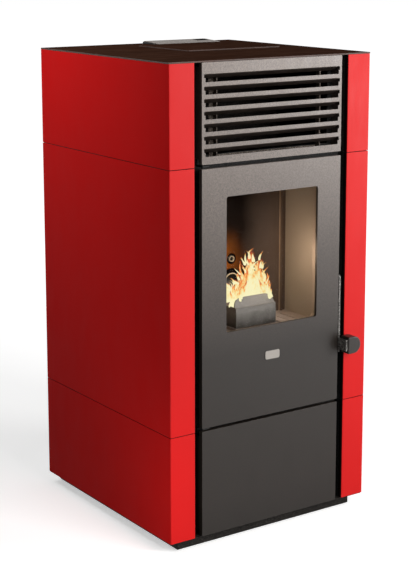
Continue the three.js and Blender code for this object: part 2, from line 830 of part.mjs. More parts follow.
function handleKnob() {
  const x0 = leverX + leverThickness + seat;
  const half = knobHeight / 2;
  const face = new THREE.Shape();
  const corner = 3;
  face.moveTo(x0 + corner, knobZ - half);
  face.lineTo(x0 + knobWidth - half, knobZ - half);
  face.absarc(x0 + knobWidth - half, knobZ, half, -Math.PI / 2, Math.PI / 2, false);
  face.lineTo(x0 + corner, knobZ + half);
  face.absarc(x0 + corner, knobZ + half - corner, corner, Math.PI / 2, Math.PI, false);
  face.lineTo(x0, knobZ - half + corner);
  face.absarc(x0 + corner, knobZ - half + corner, corner, Math.PI, 1.5 * Math.PI, false);
  const round = 2;
  const grip = new THREE.ExtrudeGeometry(face, {
    depth: knobThickness - 2 * round,
    bevelEnabled: true,
    bevelThickness: round,
    bevelSize: round,
    bevelOffset: -round,
    bevelSegments: 2,
    curveSegments: 7,
  });
  return grip.rotateX(Math.PI / 2).translate(0, knobFrontY + knobThickness - round, 0);
}

// Hook beside the lever: reaches through the frame's slot, its nose level with the keeper's underside.
function latchHook() {
  const noseHeight = 4;
  const armHeight = 8;
  const eye = 6; // half the plate's width round the pin
  const noseTop = keeperZ - keeperRadius - seat;
  const armTop = noseTop - noseHeight;
  const armBottom = armTop - armHeight;
  const noseY = keeperY + keeperRadius;
  const tipY = noseY + noseHeight + 1;
  const outline = [
    [pivotY - eye, pivotZ - eye - 1],
    [pivotY + eye - 2, armBottom],
    [tipY, armBottom],
    [tipY, noseTop],
    [noseY + 2, noseTop],
    [noseY - 1, armTop],
    [pivotY + 2 * eye, armTop],
    [pivotY + eye, pivotZ + eye],
    [pivotY - eye, pivotZ + eye],
  ];
  const x1 = latchX + latchThickness;
  return cut(prism("x", outline, latchX, x1), pinBore(latchX, x1));
}

function latchKeeper() {
  const plateY = frameBackY + seat;
  const sheet = 2.5;
  const lap = 4; // past each end of the slot
  const rise = 22;
  const x0 = latchSlotLeft - lap;
  const x1 = latchSlotRight + lap;
  const topOfPlate = latchSlotTopZ + rise;
  const earBackY = keeperY + keeperRadius + 2;
  const plate = block(x0, x1, plateY, plateY + sheet, latchSlotTopZ + 1, topOfPlate);
  const ears = [
    [x0, x0 + sheet],
    [x1 - sheet, x1],
  ].map(([a, b]) => block(a, b, plateY, earBackY, keeperZ - keeperRadius, topOfPlate));
  return join(plate, ...ears, bar("x", keeperRadius, x0, x1, keeperY, keeperZ, 16));
}

function pivotPin() {
  const headX = latchX + latchThickness + seat;
  const fromX = doorFrameHalfWidth - leverPinDepth;
  const shank = bar("x", leverPinRadius, fromX, headX + 1, pivotY, pivotZ, 12);
  return join(shank, bar("x", leverPinRadius + 2, headX, headX + 2, pivotY, pivotZ, 16));
}

add("handle_lever", handleLever(), blackSteel);
add("handle_knob", handleKnob(), greyEnamel);
add("latch_hook", latchHook(), brightSteel);
add("latch_keeper", latchKeeper(), brightSteel);
add("handle_pivot_pin", pivotPin(), brightSteel);

// ---------------------------------------------------------------- fire box
const shellHalf = chamberHalfWidth + linerThickness + seat + shellWall;
const shellInnerHalf = shellHalf - shellWall;
const linerRearY = chamberRearY + linerThickness;
const shellInnerRearY = linerRearY + seat;
const shellRearY = shellInnerRearY + shellWall;
const shellBottomZ = panelZ + shellBottom;
const hearthZ = panelZ + hearthHeight;
const hearthBottomZ = hearthZ - hearthThickness;
const chamberTopZ = panelTopZ - chamberTopDrop;
const shellTopZ = chamberTopZ + shellWall;
const chuteZ = panelZ + chuteHeight;
const sightZ = panelZ + sightHeight;
const potRearY = chamberRearY - potRearGap;
const potFrontY = potRearY - potDepth;
const potBottomZ = hearthZ + seat;
const igniterRise = 18;
const igniterZ = hearthZ + igniterRise;
const igniterRadius = 5;
const shelfRail = 10;
const smokeRadius = intakeRadius + 5;

function fireboxShell() {
  const outer = block(-shellHalf, shellHalf, shellFrontY, shellRearY, shellBottomZ, shellTopZ);
  const hollow = block(
    -shellInnerHalf,
    shellInnerHalf,
    shellFrontY - 1,
    shellInnerRearY,
    shellBottomZ + shellWall,
    chamberTopZ,
  );
  const railTopZ = hearthBottomZ - seat;
  const rails = [-1, 1].map((side) => {
    const innerX = shellInnerHalf - shelfRail;
    const [x0, x1] = side < 0 ? [-shellHalf, -innerX] : [innerX, shellHalf];
    return block(x0, x1, shellFrontY, shellInnerRearY + 1, railTopZ - shellWall, railTopZ);
  });
  const holes = [
    [chuteRadius, 0, chuteZ, 24],
    [sightRadius, 0, sightZ, 16],
    [igniterRadius + 1, 0, igniterZ, 12],
    [intakeRadius - intakeWall, intakeX, intakeZ, 24],
    [smokeRadius, spigotX, intakeZ, 24],
  ].map(([radius, x, z, sides]) => bar("y", radius, shellInnerRearY - 2, shellRearY + 2, x, z, sides));
  return cut(join(cut(outer, hollow), ...rails, ...roofFins()), ...holes);
}

function sideLiner(side) {
  const inner = chamberHalfWidth;
  const outer = shellInnerHalf - seat;
  const [x0, x1] = side < 0 ? [-outer, -inner] : [inner, outer];
  return block(x0, x1, shellFrontY + 2, chamberRearY - seat, hearthZ + seat, chamberTopZ - seat);
}

// Rear board with its round holes and an upright moulding at each side.
function rearLiner() {
  const outer = shellInnerHalf - seat;
  const mouldingRadius = 5;
  const mouldingInset = 12;
  const mouldingDrop = 40;
  const mouldingX = chamberHalfWidth - mouldingInset;
  const collarHeight = 3;
  const collarWidth = 6;
  const board = block(-outer, outer, chamberRearY, linerRearY, hearthZ + seat, chamberTopZ - seat);
  const mouldings = [-mouldingX, mouldingX].map((x) =>
    bar("z", mouldingRadius, hearthZ + seat, chamberTopZ - mouldingDrop, x, chamberRearY, 12),
  );
  const round = (radius, from, to, z, sides) => bar("y", radius, from, to, 0, z, sides);
  const collarY = chamberRearY - collarHeight;
  const collars = [
    round(chuteRadius + collarWidth, collarY, chamberRearY + 1, chuteZ, 24),
    round(sightRadius + collarWidth - 1, collarY + 1, chamberRearY + 1, sightZ, 16),
  ];
  const holes = [
    round(chuteRadius, collarY - 1, linerRearY + 2, chuteZ, 24),
    round(sightRadius, collarY - 1, linerRearY + 2, sightZ, 16),
    round(igniterRadius + 1, collarY - 1, linerRearY + 2, igniterZ, 12),
  ];
  return cut(join(board, ...mouldings, ...collars), ...holes);
}

// Cast floor with a drop hole under the pot, a low rail that keeps the pot over it and cleaning grooves.
function hearthPlate() {
  const gap = 1;
  const railWall = 3;
  const railHeight = 7;
  const ledge = 8;
  // A block that follows the pot's outline, grown by an amount on every side.
  const potOutline = (grow, z0, z1) => {
    const reach = potHalfWidth + grow;
    return block(-reach, reach, potFrontY - grow, potRearY + grow, z0, z1);
  };
  const rail = cut(
    potOutline(gap + railWall, hearthZ - 1, hearthZ + railHeight),
    potOutline(gap, hearthZ, hearthZ + railHeight + 1),
  );
  const half = shellInnerHalf - seat;
  const plate = block(-half, half, shellFrontY + 1, linerRearY, hearthBottomZ, hearthZ);
  const dropHole = potOutline(-ledge, hearthBottomZ - 1, hearthZ + 1);
  const grooveHalf = 3;
  const grooveDepth = 1.5;
  const groovePitch = 24;
  const grooveInset = 22;
  const grooves = [];
  for (const side of [-1, 1]) {
    for (let i = 0; i < 3; i += 1) {
      const x = side * (potHalfWidth + grooveInset + i * groovePitch);
      const [y0, y1] = [shellFrontY + grooveInset, chamberRearY - grooveInset];
      const groove = roundedShape(x - grooveHalf, x + grooveHalf, y0, y1, grooveHalf - 0.1);
      grooves.push(prism("z", groove, hearthZ - grooveDepth, hearthZ + 1, 1));
    }
  }
  return cut(join(plate, rail), dropHole, ...grooves);
}

// Flame baffle: a folded plate that hangs forward under the roof of the chamber.
function flameBaffle() {
  const drop = 46;
  const sheet = 6;
  const frontGap = 22;
  const roofGap = 8;
  const rearY = chamberRearY - seat;
  const rearZ = chamberTopZ - roofGap;
  const tipY = shellFrontY + frontGap;
  const side = [
    [rearY, rearZ],
    [rearY, rearZ - sheet],
    [tipY + 2 * sheet, rearZ - sheet - drop],
    [tipY, rearZ - drop],
    [tipY + sheet / 2, rearZ - drop + sheet / 2],
  ];
  return prism("x", side, -chamberHalfWidth + seat, chamberHalfWidth - seat);
}

// Burn pot: open box with air holes in its floor, its front carried up, bent back and rounded.
function burnPot() {
  const w = potHalfWidth;
  const t = potSheet;
  const frontTop = potBottomZ + potFrontHeight;
  const bendZ = potBottomZ + potBendHeight;
  const lean = 14;
  const holeRadius = 3.5;
  const holePitch = 20;
  const tub = block(-w, w, potFrontY + 1, potRearY, potBottomZ, potBottomZ + potSideHeight);
  const bowl = block(-w + t, w - t, potFrontY + t + 1, potRearY - t, potBottomZ + t, frontTop);
  const faceProfile = [
    [potFrontY, potBottomZ],
    [potFrontY + t, potBottomZ],
    [potFrontY + t, bendZ],
    [potFrontY + t + lean, frontTop],
    [potFrontY + lean, frontTop],
    [potFrontY, bendZ],
  ];
  const r = potCornerRadius;
  const arch = new THREE.Shape();
  arch.moveTo(-w, potBottomZ);
  arch.lineTo(w, potBottomZ);
  arch.lineTo(w, frontTop - r);
  arch.absarc(w - r, frontTop - r, r, 0, Math.PI / 2, false);
  arch.lineTo(-w + r, frontTop);
  arch.absarc(-w + r, frontTop - r, r, Math.PI / 2, Math.PI, false);
  const archBar = prism("y", arch, potFrontY - 1, potFrontY + 2 * lean + t, 6);
  const face = common(prism("x", faceProfile, -w, w), archBar);
  const holes = [];
  for (let i = -1.5; i <= 1.5; i += 1) {
    for (let j = -1; j <= 1; j += 1) {
      const y = (potFrontY + potRearY) / 2 + j * holePitch;
      holes.push(bar("z", holeRadius, potBottomZ - 1, potBottomZ + t + 1, i * holePitch, y, 8));
    }
  }
  const fireHole = bar("y", igniterRadius + 1, potRearY - t - 1, potRearY + 1, 0, igniterZ, 12);
  return cut(join(cut(tub, bowl), face), ...holes, fireHole);
}

function ashDrawer() {
  const sheet = 1.5;
  const sideGap = 4;
  const rearGap = 6;
  const half = mouthHalfWidth - sideGap;
  const pullReach = 14;
  const y0 = shellFrontY + pullReach + sideGap;
  const y1 = shellInnerRearY - rearGap;
  const z0 = Math.max(shellBottomZ + shellWall, mouthBottomZ) + seat;
  const z1 = z0 + drawerHeight;
  const tub = cut(
    block(-half, half, y0, y1, z0, z1),
    block(-half + sheet, half - sheet, y0 + sheet, y1 - sheet, z0 + sheet, z1 + 1),
  );
  const pullHalf = 44;
  const pullWall = 3;
  const pullBottom = z1 - 34;
  const pullTop = z1 - 20;
  const section = roundedShape(y0 - pullReach, y0 + 1, pullBottom, pullTop, pullWall);
  const inside = pullHalf - pullWall;
  const grip = block(-inside, inside, y0 - pullReach + pullWall, y0, pullBottom + pullWall, pullTop + 1);
  return join(tub, cut(prism("x", section, -pullHalf, pullHalf, 3), grip));
}

function igniter() {
  const tail = 40;
  const flangeRadius = igniterRadius + 6;
  const flangeThickness = 4;
  const flangeY = shellRearY + seat;
  const rod = bar("y", igniterRadius, potRearY + seat, flangeY + tail, 0, igniterZ, 12);
  return join(rod, bar("y", flangeRadius, flangeY, flangeY + flangeThickness, 0, igniterZ, 16));
}

// Fins on the roof of the fire box, swept by the room air on its way to the grille.
function roofFins() {
  const finHeight = 26;
  const finCount = 9;
  const finSlope = 12;
  const finHalf = 1;
  const finInset = 6;
  const reach = shellHalf - finInset - shellWall;
  const side = [
    [shellFrontY + finInset, shellTopZ - 1],
    [shellRearY - finInset, shellTopZ - 1],
    [shellRearY - finInset - finSlope, shellTopZ + finHeight],
    [shellFrontY + finInset + finSlope, shellTopZ + finHeight],
  ];
  return Array.from({ length: finCount }, (_, i) => {
    const x = -reach + (i * 2 * reach) / (finCount - 1);
    return prism("x", side, x - finHalf, x + finHalf);
  });
}

add("firebox_shell", fireboxShell(), castIron);
add("firebox_liner_left", sideLiner(-1), vermiculite);
add("firebox_liner_right", sideLiner(1), vermiculite);
add("firebox_liner_rear", rearLiner(), vermiculite);
add("hearth_plate", hearthPlate(), castIron);
add("flame_baffle", flameBaffle(), vermiculite);
add("burn_pot", burnPot(), castIron);
add("ash_drawer", ashDrawer(), galvanised);
add("igniter", igniter(), brightSteel);

// ---------------------------------------------------------------- pellet feed, in its own tilted frame
const feed = new THREE.Group();
const augerFootY = frontY + augerFootBack;
const augerFootZ = panelZ + augerFootHeight;
const tilt = THREE.MathUtils.degToRad(augerTilt);
feed.position.set(0, augerFootY, augerFootZ);
feed.rotation.x = tilt;
feed.updateMatrix();
stove.add(feed);
const toFeed = feed.matrix.clone().invert();

function tilted(geometry) {
  return geometry.applyMatrix4(feed.matrix);
}

// A screw flight: a rectangle section swept round the shaft.
function screwFlight() {
  const endGap = 10;
  const stepsPerTurn = 12;
  const steps = Math.floor(((augerLength - tubeCap - 2 * endGap) / flightPitch) * stepsPerTurn);
  const inner = augerShaftRadius - 1.5;
  const positions = [];
  const index = [];
  for (let i = 0; i <= steps; i += 1) {
    const turn = (2 * Math.PI * i) / stepsPerTurn;
    const z = endGap + (flightPitch * i) / stepsPerTurn;
    for (const [r, lift] of [
      [inner, -1],
      [flightRadius, -1],
      [flightRadius, 1],
      [inner, 1],
    ]) {
      positions.push(r * Math.cos(turn), r * Math.sin(turn), z + (lift * flightThickness) / 2);
    }
  }
  const quad = (a, b, c, d) => index.push(a, c, b, a, d, c);
  for (let i = 0; i < steps; i += 1) {
    for (let k = 0; k < 4; k += 1) {
      const next = (k + 1) % 4;
      quad(4 * i + k, 4 * i + next, 4 * (i + 1) + next, 4 * (i + 1) + k);
    }
  }
  quad(3, 2, 1, 0);
  const last = 4 * steps;
  quad(last, last + 1, last + 2, last + 3);
  const geometry = new THREE.BufferGeometry();
  geometry.setAttribute("position", new THREE.BufferAttribute(new Float32Array(positions), 3));
  geometry.setIndex(index);
  return geometry;
}

const outletLow = augerLength - 52;
const shaftTail = 12; // into the gearmotor

function augerScrew() {
  return join(bar("z", augerShaftRadius, -shaftTail, augerLength - 2 * tubeCap, 0, 0, 12), screwFlight());
}

const throatY = frontY + throatBack;

function augerTube() {
  const lip = 8;
  const outer = bar("z", augerTubeRadius, 0, augerLength, 0, 0, 18);
  const bore = bar("z", augerTubeRadius - augerTubeWall, -1, augerLength - tubeCap, 0, 0, 18);
  const inletX = throatWidth / 2 - lip;
  const inletHalf = throatDepth / 2 - lip + 2;
  const inletTop = augerFootZ + augerLength;
  const inletHole = block(-inletX, inletX, throatY - inletHalf, throatY + inletHalf, augerFootZ, inletTop);
  const wide = 2 * augerTubeRadius;
  const aboveAxis = block(-wide, wide, 0, wide, -lip, augerLength + lip);
  const outletHalf = 18;
  const outlet = block(-outletHalf, outletHalf, -wide, 0, outletLow + lip, augerLength - lip);
  return cut(outer, bore, common(inletHole.applyMatrix4(toFeed), aboveAxis), outlet);
}

function gearmotor() {
  const flangeThickness = 14;
  const flangeWall = 14;
  const boxHalfWidth = 34;
  const boxHalfHeight = 30;
  const boxCorner = 6;
  const boxLength = 32;
  const canRadius = 27;
  const canLength = 72;
  const boxEnd = -flangeThickness - boxLength;
  const boxShape = roundedShape(-boxHalfWidth, boxHalfWidth, -boxHalfHeight, boxHalfHeight, boxCorner);
  const gearbox = prism("z", boxShape, boxEnd, -flangeThickness, 3);
  const can = bar("z", canRadius, boxEnd - canLength, boxEnd + 1, 0, 0, 20);
  const flange = pipe("z", augerTubeRadius + 5, flangeWall, -flangeThickness - 1, -seat, 0, 0, 24);
  const shaftWay = bar("z", augerShaftRadius + 1, -shaftTail - 2, 1, 0, 0, 16);
  return cut(join(gearbox, can, flange), shaftWay);
}

add("auger_screw", augerScrew(), brightSteel, feed);
add("gearmotor", gearmotor(), blackSteel, feed);

// Drop chute from the auger's outlet to the hole in the fire box, welded to the auger tube.
function weldedChute() {
  const outletMiddle = new THREE.Vector3(0, -augerTubeRadius, (outletLow + augerLength) / 2 - 1);
  outletMiddle.applyMatrix4(feed.matrix);
  const mouthBack = 20; // ahead of the shell's rear face
  const mouthFall = 8;
  const holeMiddle = new THREE.Vector3(0, shellRearY - mouthBack, chuteZ - mouthFall);
  const along = outletMiddle.sub(holeMiddle);
  const length = along.length();
  const up = new THREE.Vector3(0, 0, 1);
  const turn = new THREE.Quaternion().setFromUnitVectors(up, along.normalize());
  const stand = new THREE.Matrix4().compose(holeMiddle, turn, new THREE.Vector3(1, 1, 1));
  const place = (geometry) => geometry.applyMatrix4(stand);
  const past = 2 * augerTubeRadius;
  const radius = chuteRadius - 1;
  const outer = place(bar("z", radius, -mouthBack, length + past / 2, 0, 0, 16));
  const inner = place(bar("z", radius - chuteWall, -past, length + past, 0, 0, 16));
  const behindShell = block(-past, past, shellRearY + seat, backY, panelZ, panelTopZ);
  const bore = bar("z", augerTubeRadius - augerTubeWall, -past, augerLength + past, 0, 0, 18);
  const pastTube = tilted(block(-past, past, 0, 2 * past, -past, augerLength + 2 * past));
  const chute = cut(common(outer, behindShell), inner, tilted(bore), pastTube);
  return join(tilted(augerTube()), chute);
}

// Hopper: straight bin under the lid, then a funnel down to the auger's inlet.
function hopper() {
  const s = hopperSheet;
  const z1 = panelTopZ - seat;
  const z0 = panelTopZ - hopperShoulderDrop;
  const z2 = panelZ + throatHeight;
  const level = (z, x0, x1, y0, y1) => [
    [x0, y0, z],
    [x1, y0, z],
    [x1, y1, z],
    [x0, y1, z],
  ];
  const throatFoot = 40;
  const loft = (inset, over) => {
    const wide = throatWidth / 2 - inset;
    const deep = throatDepth / 2 - inset;
    const throat = [-wide, wide, throatY - deep, throatY + deep];
    const bin = [mouthLeftX + inset, mouthRightX - inset, hopperFrontY + inset, hopperBackY - inset];
    const rings = [
      level(augerFootZ + throatFoot - over, ...throat),
      level(z2, ...throat),
      level(z0, ...bin),
      level(z1 + over, ...bin),
    ];
    const positions = rings.flat(2);
    const index = [];
    for (let ring = 0; ring < rings.length - 1; ring += 1) {
      for (let k = 0; k < 4; k += 1) {
        const a = 4 * ring + k;
        const b = 4 * ring + ((k + 1) % 4);
        index.push(a, b, b + 4, a, b + 4, a + 4);
      }
    }
    index.push(0, 2, 1, 0, 3, 2);
    const last = 4 * (rings.length - 1);
    index.push(last, last + 1, last + 2, last, last + 2, last + 3);
    const geometry = new THREE.BufferGeometry();
    geometry.setAttribute("position", new THREE.BufferAttribute(new Float32Array(positions), 3));
    geometry.setIndex(index);
    return geometry;
  };
  const past = 2 * augerTubeRadius;
  const tubeSpace = tilted(bar("z", augerTubeRadius + 2 * seat, -past, augerLength + past, 0, 0, 24));
  const belowTube = tilted(block(-past, past, -2 * past, 0, -2 * past, augerLength + past));
  return cut(loft(0, 0), loft(s, 1), tubeSpace, belowTube);
}

// Finger guard lying on the shoulder of the hopper.
function safetyGrid() {
  const clear = hopperSheet + 1;
  const rise = 40;
  const z = panelTopZ - hopperShoulderDrop + rise;
  const x0 = mouthLeftX + clear;
  const x1 = mouthRightX - clear;
  const y0 = hopperFrontY + clear;
  const y1 = hopperBackY - clear;
  const band = 5;
  const wire = 3;
  const ring = cut(
    block(x0, x1, y0, y1, z, z + wire),
    block(x0 + band, x1 - band, y0 + band, y1 - band, z - 1, z + wire + 1),
  );
  const wires = [];
  const count = 6;
  for (let i = 1; i < count; i += 1) {
    const x = x0 + ((x1 - x0) * i) / count;
    wires.push(block(x - wire / 2, x + wire / 2, y0 + 1, y1 - 1, z, z + wire));
  }
  return join(ring, ...wires);
}

add("auger_tube", weldedChute(), galvanised);
add("hopper", hopper(), galvanised);
add("hopper_safety_grid", safetyGrid(), brightSteel);

// ---------------------------------------------------------------- smoke side
const fanY = backY - fanAhead;
const fanZ = spigotZ - fanDrop;
const fanX0 = spigotX - fanWidth / 2;
const fanX1 = spigotX + fanWidth / 2;
const fanFlangeY = backY - fanFlangeInset;
const fanShaftRadius = 5;

// Volute outline: a drum that runs out into a straight outlet as tall as the spigot.
function volute(inset, toY) {
  const r = fanRadius - inset;
  const outletTop = spigotZ + spigotRadius + 2 - inset;
  const outletBottom = spigotZ - spigotRadius - 2 + inset;
  const shape = new THREE.Shape();
  const topTurn = Math.asin(Math.min(1, (outletTop - fanZ) / r));
  const bottomTurn = Math.asin((outletBottom - fanZ) / r);
  shape.moveTo(toY, outletBottom);
  shape.lineTo(toY, outletTop);
  shape.lineTo(fanY + r * Math.cos(topTurn), outletTop);
  shape.absarc(fanY, fanZ, r, topTurn, 2 * Math.PI + bottomTurn, false);
  return shape;
}

function smokeFanHousing() {
  const s = fanSheet;
  const outer = prism("x", volute(0, fanFlangeY), fanX0, fanX1, 12);
  const hollow = prism("x", volute(s, fanFlangeY + 1), fanX0 + s, fanX1 - s, 12);
  const inletHole = bar("x", eyeRadius, fanX1 - s - 1, fanX1 + 1, fanY, fanZ, 24);
  const shaftHole = bar("x", fanShaftRadius + 2, fanX0 - 1, fanX0 + s + 1, fanY, fanZ, 12);
  return cut(outer, hollow, inletHole, shaftHole);
}

function smokeImpeller() {
  const bladeCount = 10;
  const bladeLength = 40;
  const bladeHalf = 0.9;
  const hubRadius = 18;
  const discRadius = 54;
  const discSheet = 2;
  const shaftTail = 14; // into the motor
  const discX = fanX0 + hubRadius;
  const disc = bar("x", discRadius, discX, discX + discSheet, fanY, fanZ, 28);
  const shaft = bar("x", fanShaftRadius, fanX0 - shaftTail, discX + bladeLength / 2, fanY, fanZ, 12);
  const blades = Array.from({ length: bladeCount }, (_, i) => {
    const tip = discRadius - discSheet;
    const blade = block(discX + 1, discX + bladeLength, -bladeHalf, bladeHalf, hubRadius, tip);
    return blade.rotateX((2 * Math.PI * i) / bladeCount).translate(0, fanY, fanZ);
  });
  return join(disc, shaft, ...blades);
}

function smokeMotor() {
  const face = fanX0 - seat;
  const canRadius = 34;
  const canLength = 50;
  const plateRadius = 44;
  const plateThickness = 4;
  const legRadius = 3.5;
  const legLength = 14;
  const legCircle = 38;
  const plateX = face - legLength - plateThickness;
  const can = bar("x", canRadius, plateX + 2 - canLength, plateX + 2, fanY, fanZ, 20);
  const plate = bar("x", plateRadius, plateX, face - legLength, fanY, fanZ, 20);
  const legs = [0, 1, 2].map((i) => {
    const leg = bar("x", legRadius, face - legLength - 1, face, 0, legCircle, 10);
    return leg.rotateX((2 * Math.PI * i) / 3).translate(0, fanY, fanZ);
  });
  const shaftWay = bar("x", fanShaftRadius + 1.5, plateX - canLength / 2, face + 1, fanY, fanZ, 12);
  return cut(join(can, plate, ...legs), shaftWay);
}

function flueSpigot() {
  const from = fanFlangeY + seat;
  const to = backY + spigotStandOff;
  const flangeSide = 2 * spigotRadius + 4;
  const flangeSheet = 2.5;
  const tube = bar("y", spigotRadius, from, to, spigotX, spigotZ, 36);
  const flange = centred(spigotX, spigotZ, flangeSide, flangeSide, from, from + flangeSheet);
  const bore = bar("y", spigotRadius - spigotWall, from - 1, to + 1, spigotX, spigotZ, 36);
  return cut(join(tube, flange), bore);
}

// Box duct that leads the smoke from behind the fire box back over the blower and down to the fan's eye.
function smokeDuct() {
  const s = ductSheet;
  const half = ductHalf;
  const collectorDepth = 72;
  const eyeX = fanX1 + seat;
  const farX = eyeX + ductWidth;
  const y0 = shellRearY + seat;
  const y1 = fanY + half;
  const [z0, z1] = [intakeZ - half, intakeZ + half];
  const collector = [spigotX - half, farX, y0, y0 + collectorDepth, z0, z1];
  const runBack = [eyeX, farX, y0, y1, z0, z1];
  const drop = [eyeX, farX, fanY - half, y1, fanZ - half, z1];
  const legs = [collector, runBack, drop];
  const outer = legs.map((leg) => block(...leg));
  const inner = legs.map((leg) => block(...leg.map((side, i) => (i % 2 ? side - s : side + s))));
  const smokeHole = bar("y", smokeRadius, y0 - 1, y0 + s + 1, spigotX, intakeZ, 24);
  const eye = bar("x", eyeRadius, eyeX - 1, eyeX + s + 1, fanY, fanZ, 24);
  return cut(join(...outer), ...inner, smokeHole, eye);
}

add("smoke_fan_housing", smokeFanHousing(), castIron);
add("smoke_impeller", smokeImpeller(), brightSteel);
add("smoke_fan_motor", smokeMotor(), blackSteel);
add("smoke_duct", smokeDuct(), galvanised);
add("flue_spigot", flueSpigot(), blackSteel);
const intakeEndY = backY + intakeStandOff;
const intakePipe = pipe("y", intakeRadius, intakeWall, shellRearY + seat, intakeEndY, intakeX, intakeZ, 24);
add("air_intake_pipe", intakePipe, galvanised);

// ---------------------------------------------------------------- room air blower
const blowerY = frontY + frameSetback + blowerBack;
const blowerZ = panelZ + blowerHeight;
const blowerShift = 10; // towards the left, to leave room for the motor
const blowerX0 = -blowerLength / 2 - blowerShift;
const blowerX1 = blowerX0 + blowerLength;
const scroll = blowerRadius + 12;
const blowerShaftRadius = 4;
const standZ = footHeight + casingSheet + seat;

// Scroll housing: round behind, with a duct that rises from its front to the fire box floor.
function blowerHousing() {
  const s = 1.5;
  const top = shellBottomZ - seat;
  const ductDepth = 46;
  const throatTurn = Math.PI / 4;
  const throatRise = 16;
  const endBand = 8;
  const profile = (inset, overTop) => {
    const r = scroll - inset;
    const ductRear = blowerY - scroll + ductDepth - inset;
    const shape = new THREE.Shape();
    shape.moveTo(blowerY - r, top + overTop);
    shape.lineTo(blowerY - r, blowerZ);
    shape.absarc(blowerY, blowerZ, r, Math.PI, 2 * Math.PI + throatTurn, false);
    shape.lineTo(ductRear, blowerZ + scroll + throatRise);
    shape.lineTo(ductRear, top + overTop);
    return shape;
  };
  const outer = prism("x", profile(0, 0), blowerX0, blowerX1, 8);
  const hollow = prism("x", profile(s, 1), blowerX0 + s, blowerX1 - s, 8);
  const intake = block(
    blowerX0 + endBand,
    blowerX1 - endBand,
    blowerY + blowerRadius * 0.3,
    blowerY + scroll + 1,
    blowerZ - scroll * 0.15,
    blowerZ + scroll * 0.6,
  );
  const shaftWay = bar("x", blowerShaftRadius + 2, blowerX0 - 1, blowerX1 + 1, blowerY, blowerZ, 12);
  const standSide = 20;
  const standTopZ = blowerZ - scroll * 0.86;
  const stands = [blowerX0, blowerX1 - standSide].map((x) =>
    block(x, x + standSide, blowerY - standSide, blowerY + standSide, standZ, standTopZ),
  );
  return cut(join(outer, ...stands), hollow, intake, shaftWay);
}

function blowerRotor() {
  const bladeCount = 12;
  const bladeHalf = 0.8;
  const bladeReach = 5;
  const bladePitch = 0.6; // radians from the radial line
  const endGap = 6;
  const discSheet = 2;
  const shaftTail = 16; // into the motor
  const x0 = blowerX0 + endGap;
  const x1 = blowerX1 - endGap;
  const discs = [x0, (x0 + x1 - discSheet) / 2, x1 - discSheet].map((x) =>
    bar("x", blowerRadius, x, x + discSheet, blowerY, blowerZ, 16),
  );
  const shaft = bar("x", blowerShaftRadius, blowerX0 - endGap, blowerX1 + shaftTail, blowerY, blowerZ, 12);
  const bladeCircle = blowerRadius - bladeReach - 2 * bladeHalf;
  const blades = Array.from({ length: bladeCount }, (_, i) => {
    const blade = block(x0 + 1, x1 - 1, -bladeHalf, bladeHalf, -bladeReach, bladeReach);
    blade.rotateX(bladePitch).translate(0, 0, bladeCircle);
    return blade.rotateX((2 * Math.PI * i) / bladeCount).translate(0, blowerY, blowerZ);
  });
  return join(shaft, ...discs, ...blades);
}

function blowerMotor() {
  const face = blowerX1 + seat;
  const canRadius = 30;
  const canLength = 44;
  const neckRadius = 22;
  const neckLength = 4;
  const standInset = 10;
  const standHalf = 16;
  const canX = face + neckLength;
  const can = bar("x", canRadius, canX, canX + canLength, blowerY, blowerZ, 20);
  const neck = bar("x", neckRadius, face, canX + 1, blowerY, blowerZ, 20);
  const shaftWay = bar("x", blowerShaftRadius + 1.5, face - 1, canX + canLength / 2, blowerY, blowerZ, 12);
  const stand = block(
    canX + standInset,
    canX + canLength - standInset,
    blowerY - standHalf,
    blowerY + standHalf,
    standZ,
    blowerZ - 0.8 * canRadius,
  );
  return cut(join(can, neck, stand), shaftWay);
}

add("blower_housing", blowerHousing(), galvanised);
add("blower_rotor", blowerRotor(), brightSteel);
add("blower_motor", blowerMotor(), blackSteel);

// ---------------------------------------------------------------- console, board, inlet, switch
const consoleRight = halfWidth - consoleRightInset;
const consoleBackY = backY - consoleBackInset;
const consoleFrontY = consoleBackY - consoleDepth;
const consoleZ = topZ + seat;
const facePlate = 1.6;
const consoleLip = 0.8;
const consoleRidge = 3; // flat strip behind the slope
const faceEndY = consoleBackY - consoleRidge - 1;
const displayInset = 10;
const displayWidth = 34;
const displayDepth = 26;
const displayRidge = 8;
const displayRight = consoleRight - displayInset;
const displayBackY = faceEndY - displayRidge;

function consoleHousing() {
  const side = [
    [consoleFrontY, consoleZ],
    [consoleBackY, consoleZ],
    [consoleBackY, consoleZ + consoleRise],
    [consoleBackY - consoleRidge, consoleZ + consoleRise],
    [consoleFrontY, consoleZ + consoleLip],
  ];
  return prism("x", side, consoleLeft, consoleRight);
}

// A sheet as thick as the face plate, lying on the slope of the console.
function slopePlate(x0, x1, y0, y1) {
  const slope = (consoleRise - consoleLip) / (consoleDepth - consoleRidge);
  const z = (y) => consoleZ + consoleLip + (y - consoleFrontY) * slope + seat;
  const side = [
    [y0, z(y0)],
    [y1, z(y1)],
    [y1, z(y1) + facePlate],
    [y0, z(y0) + facePlate],
  ];
  return prism("x", side, x0, x1);
}

function consoleFace() {
  const plate = slopePlate(consoleLeft + seat, consoleRight - seat, consoleFrontY, faceEndY);
  const [x0, y0] = [displayRight - displayWidth, displayBackY - displayDepth];
  return cut(plate, block(x0, displayRight, y0, displayBackY, consoleZ, consoleZ + 2 * consoleRise));
}

function consoleDisplay() {
  const x0 = displayRight - displayWidth + seat;
  const y0 = displayBackY - displayDepth + seat;
  return slopePlate(x0, displayRight - seat, y0, displayBackY - seat);
}

add("console_housing", consoleHousing(), blackPlastic);
add("console_face", consoleFace(), consoleGrey);
add("console_display", consoleDisplay(), ceramicGlass);

const boardRearY = rearPanelY - casingSheet - seat;

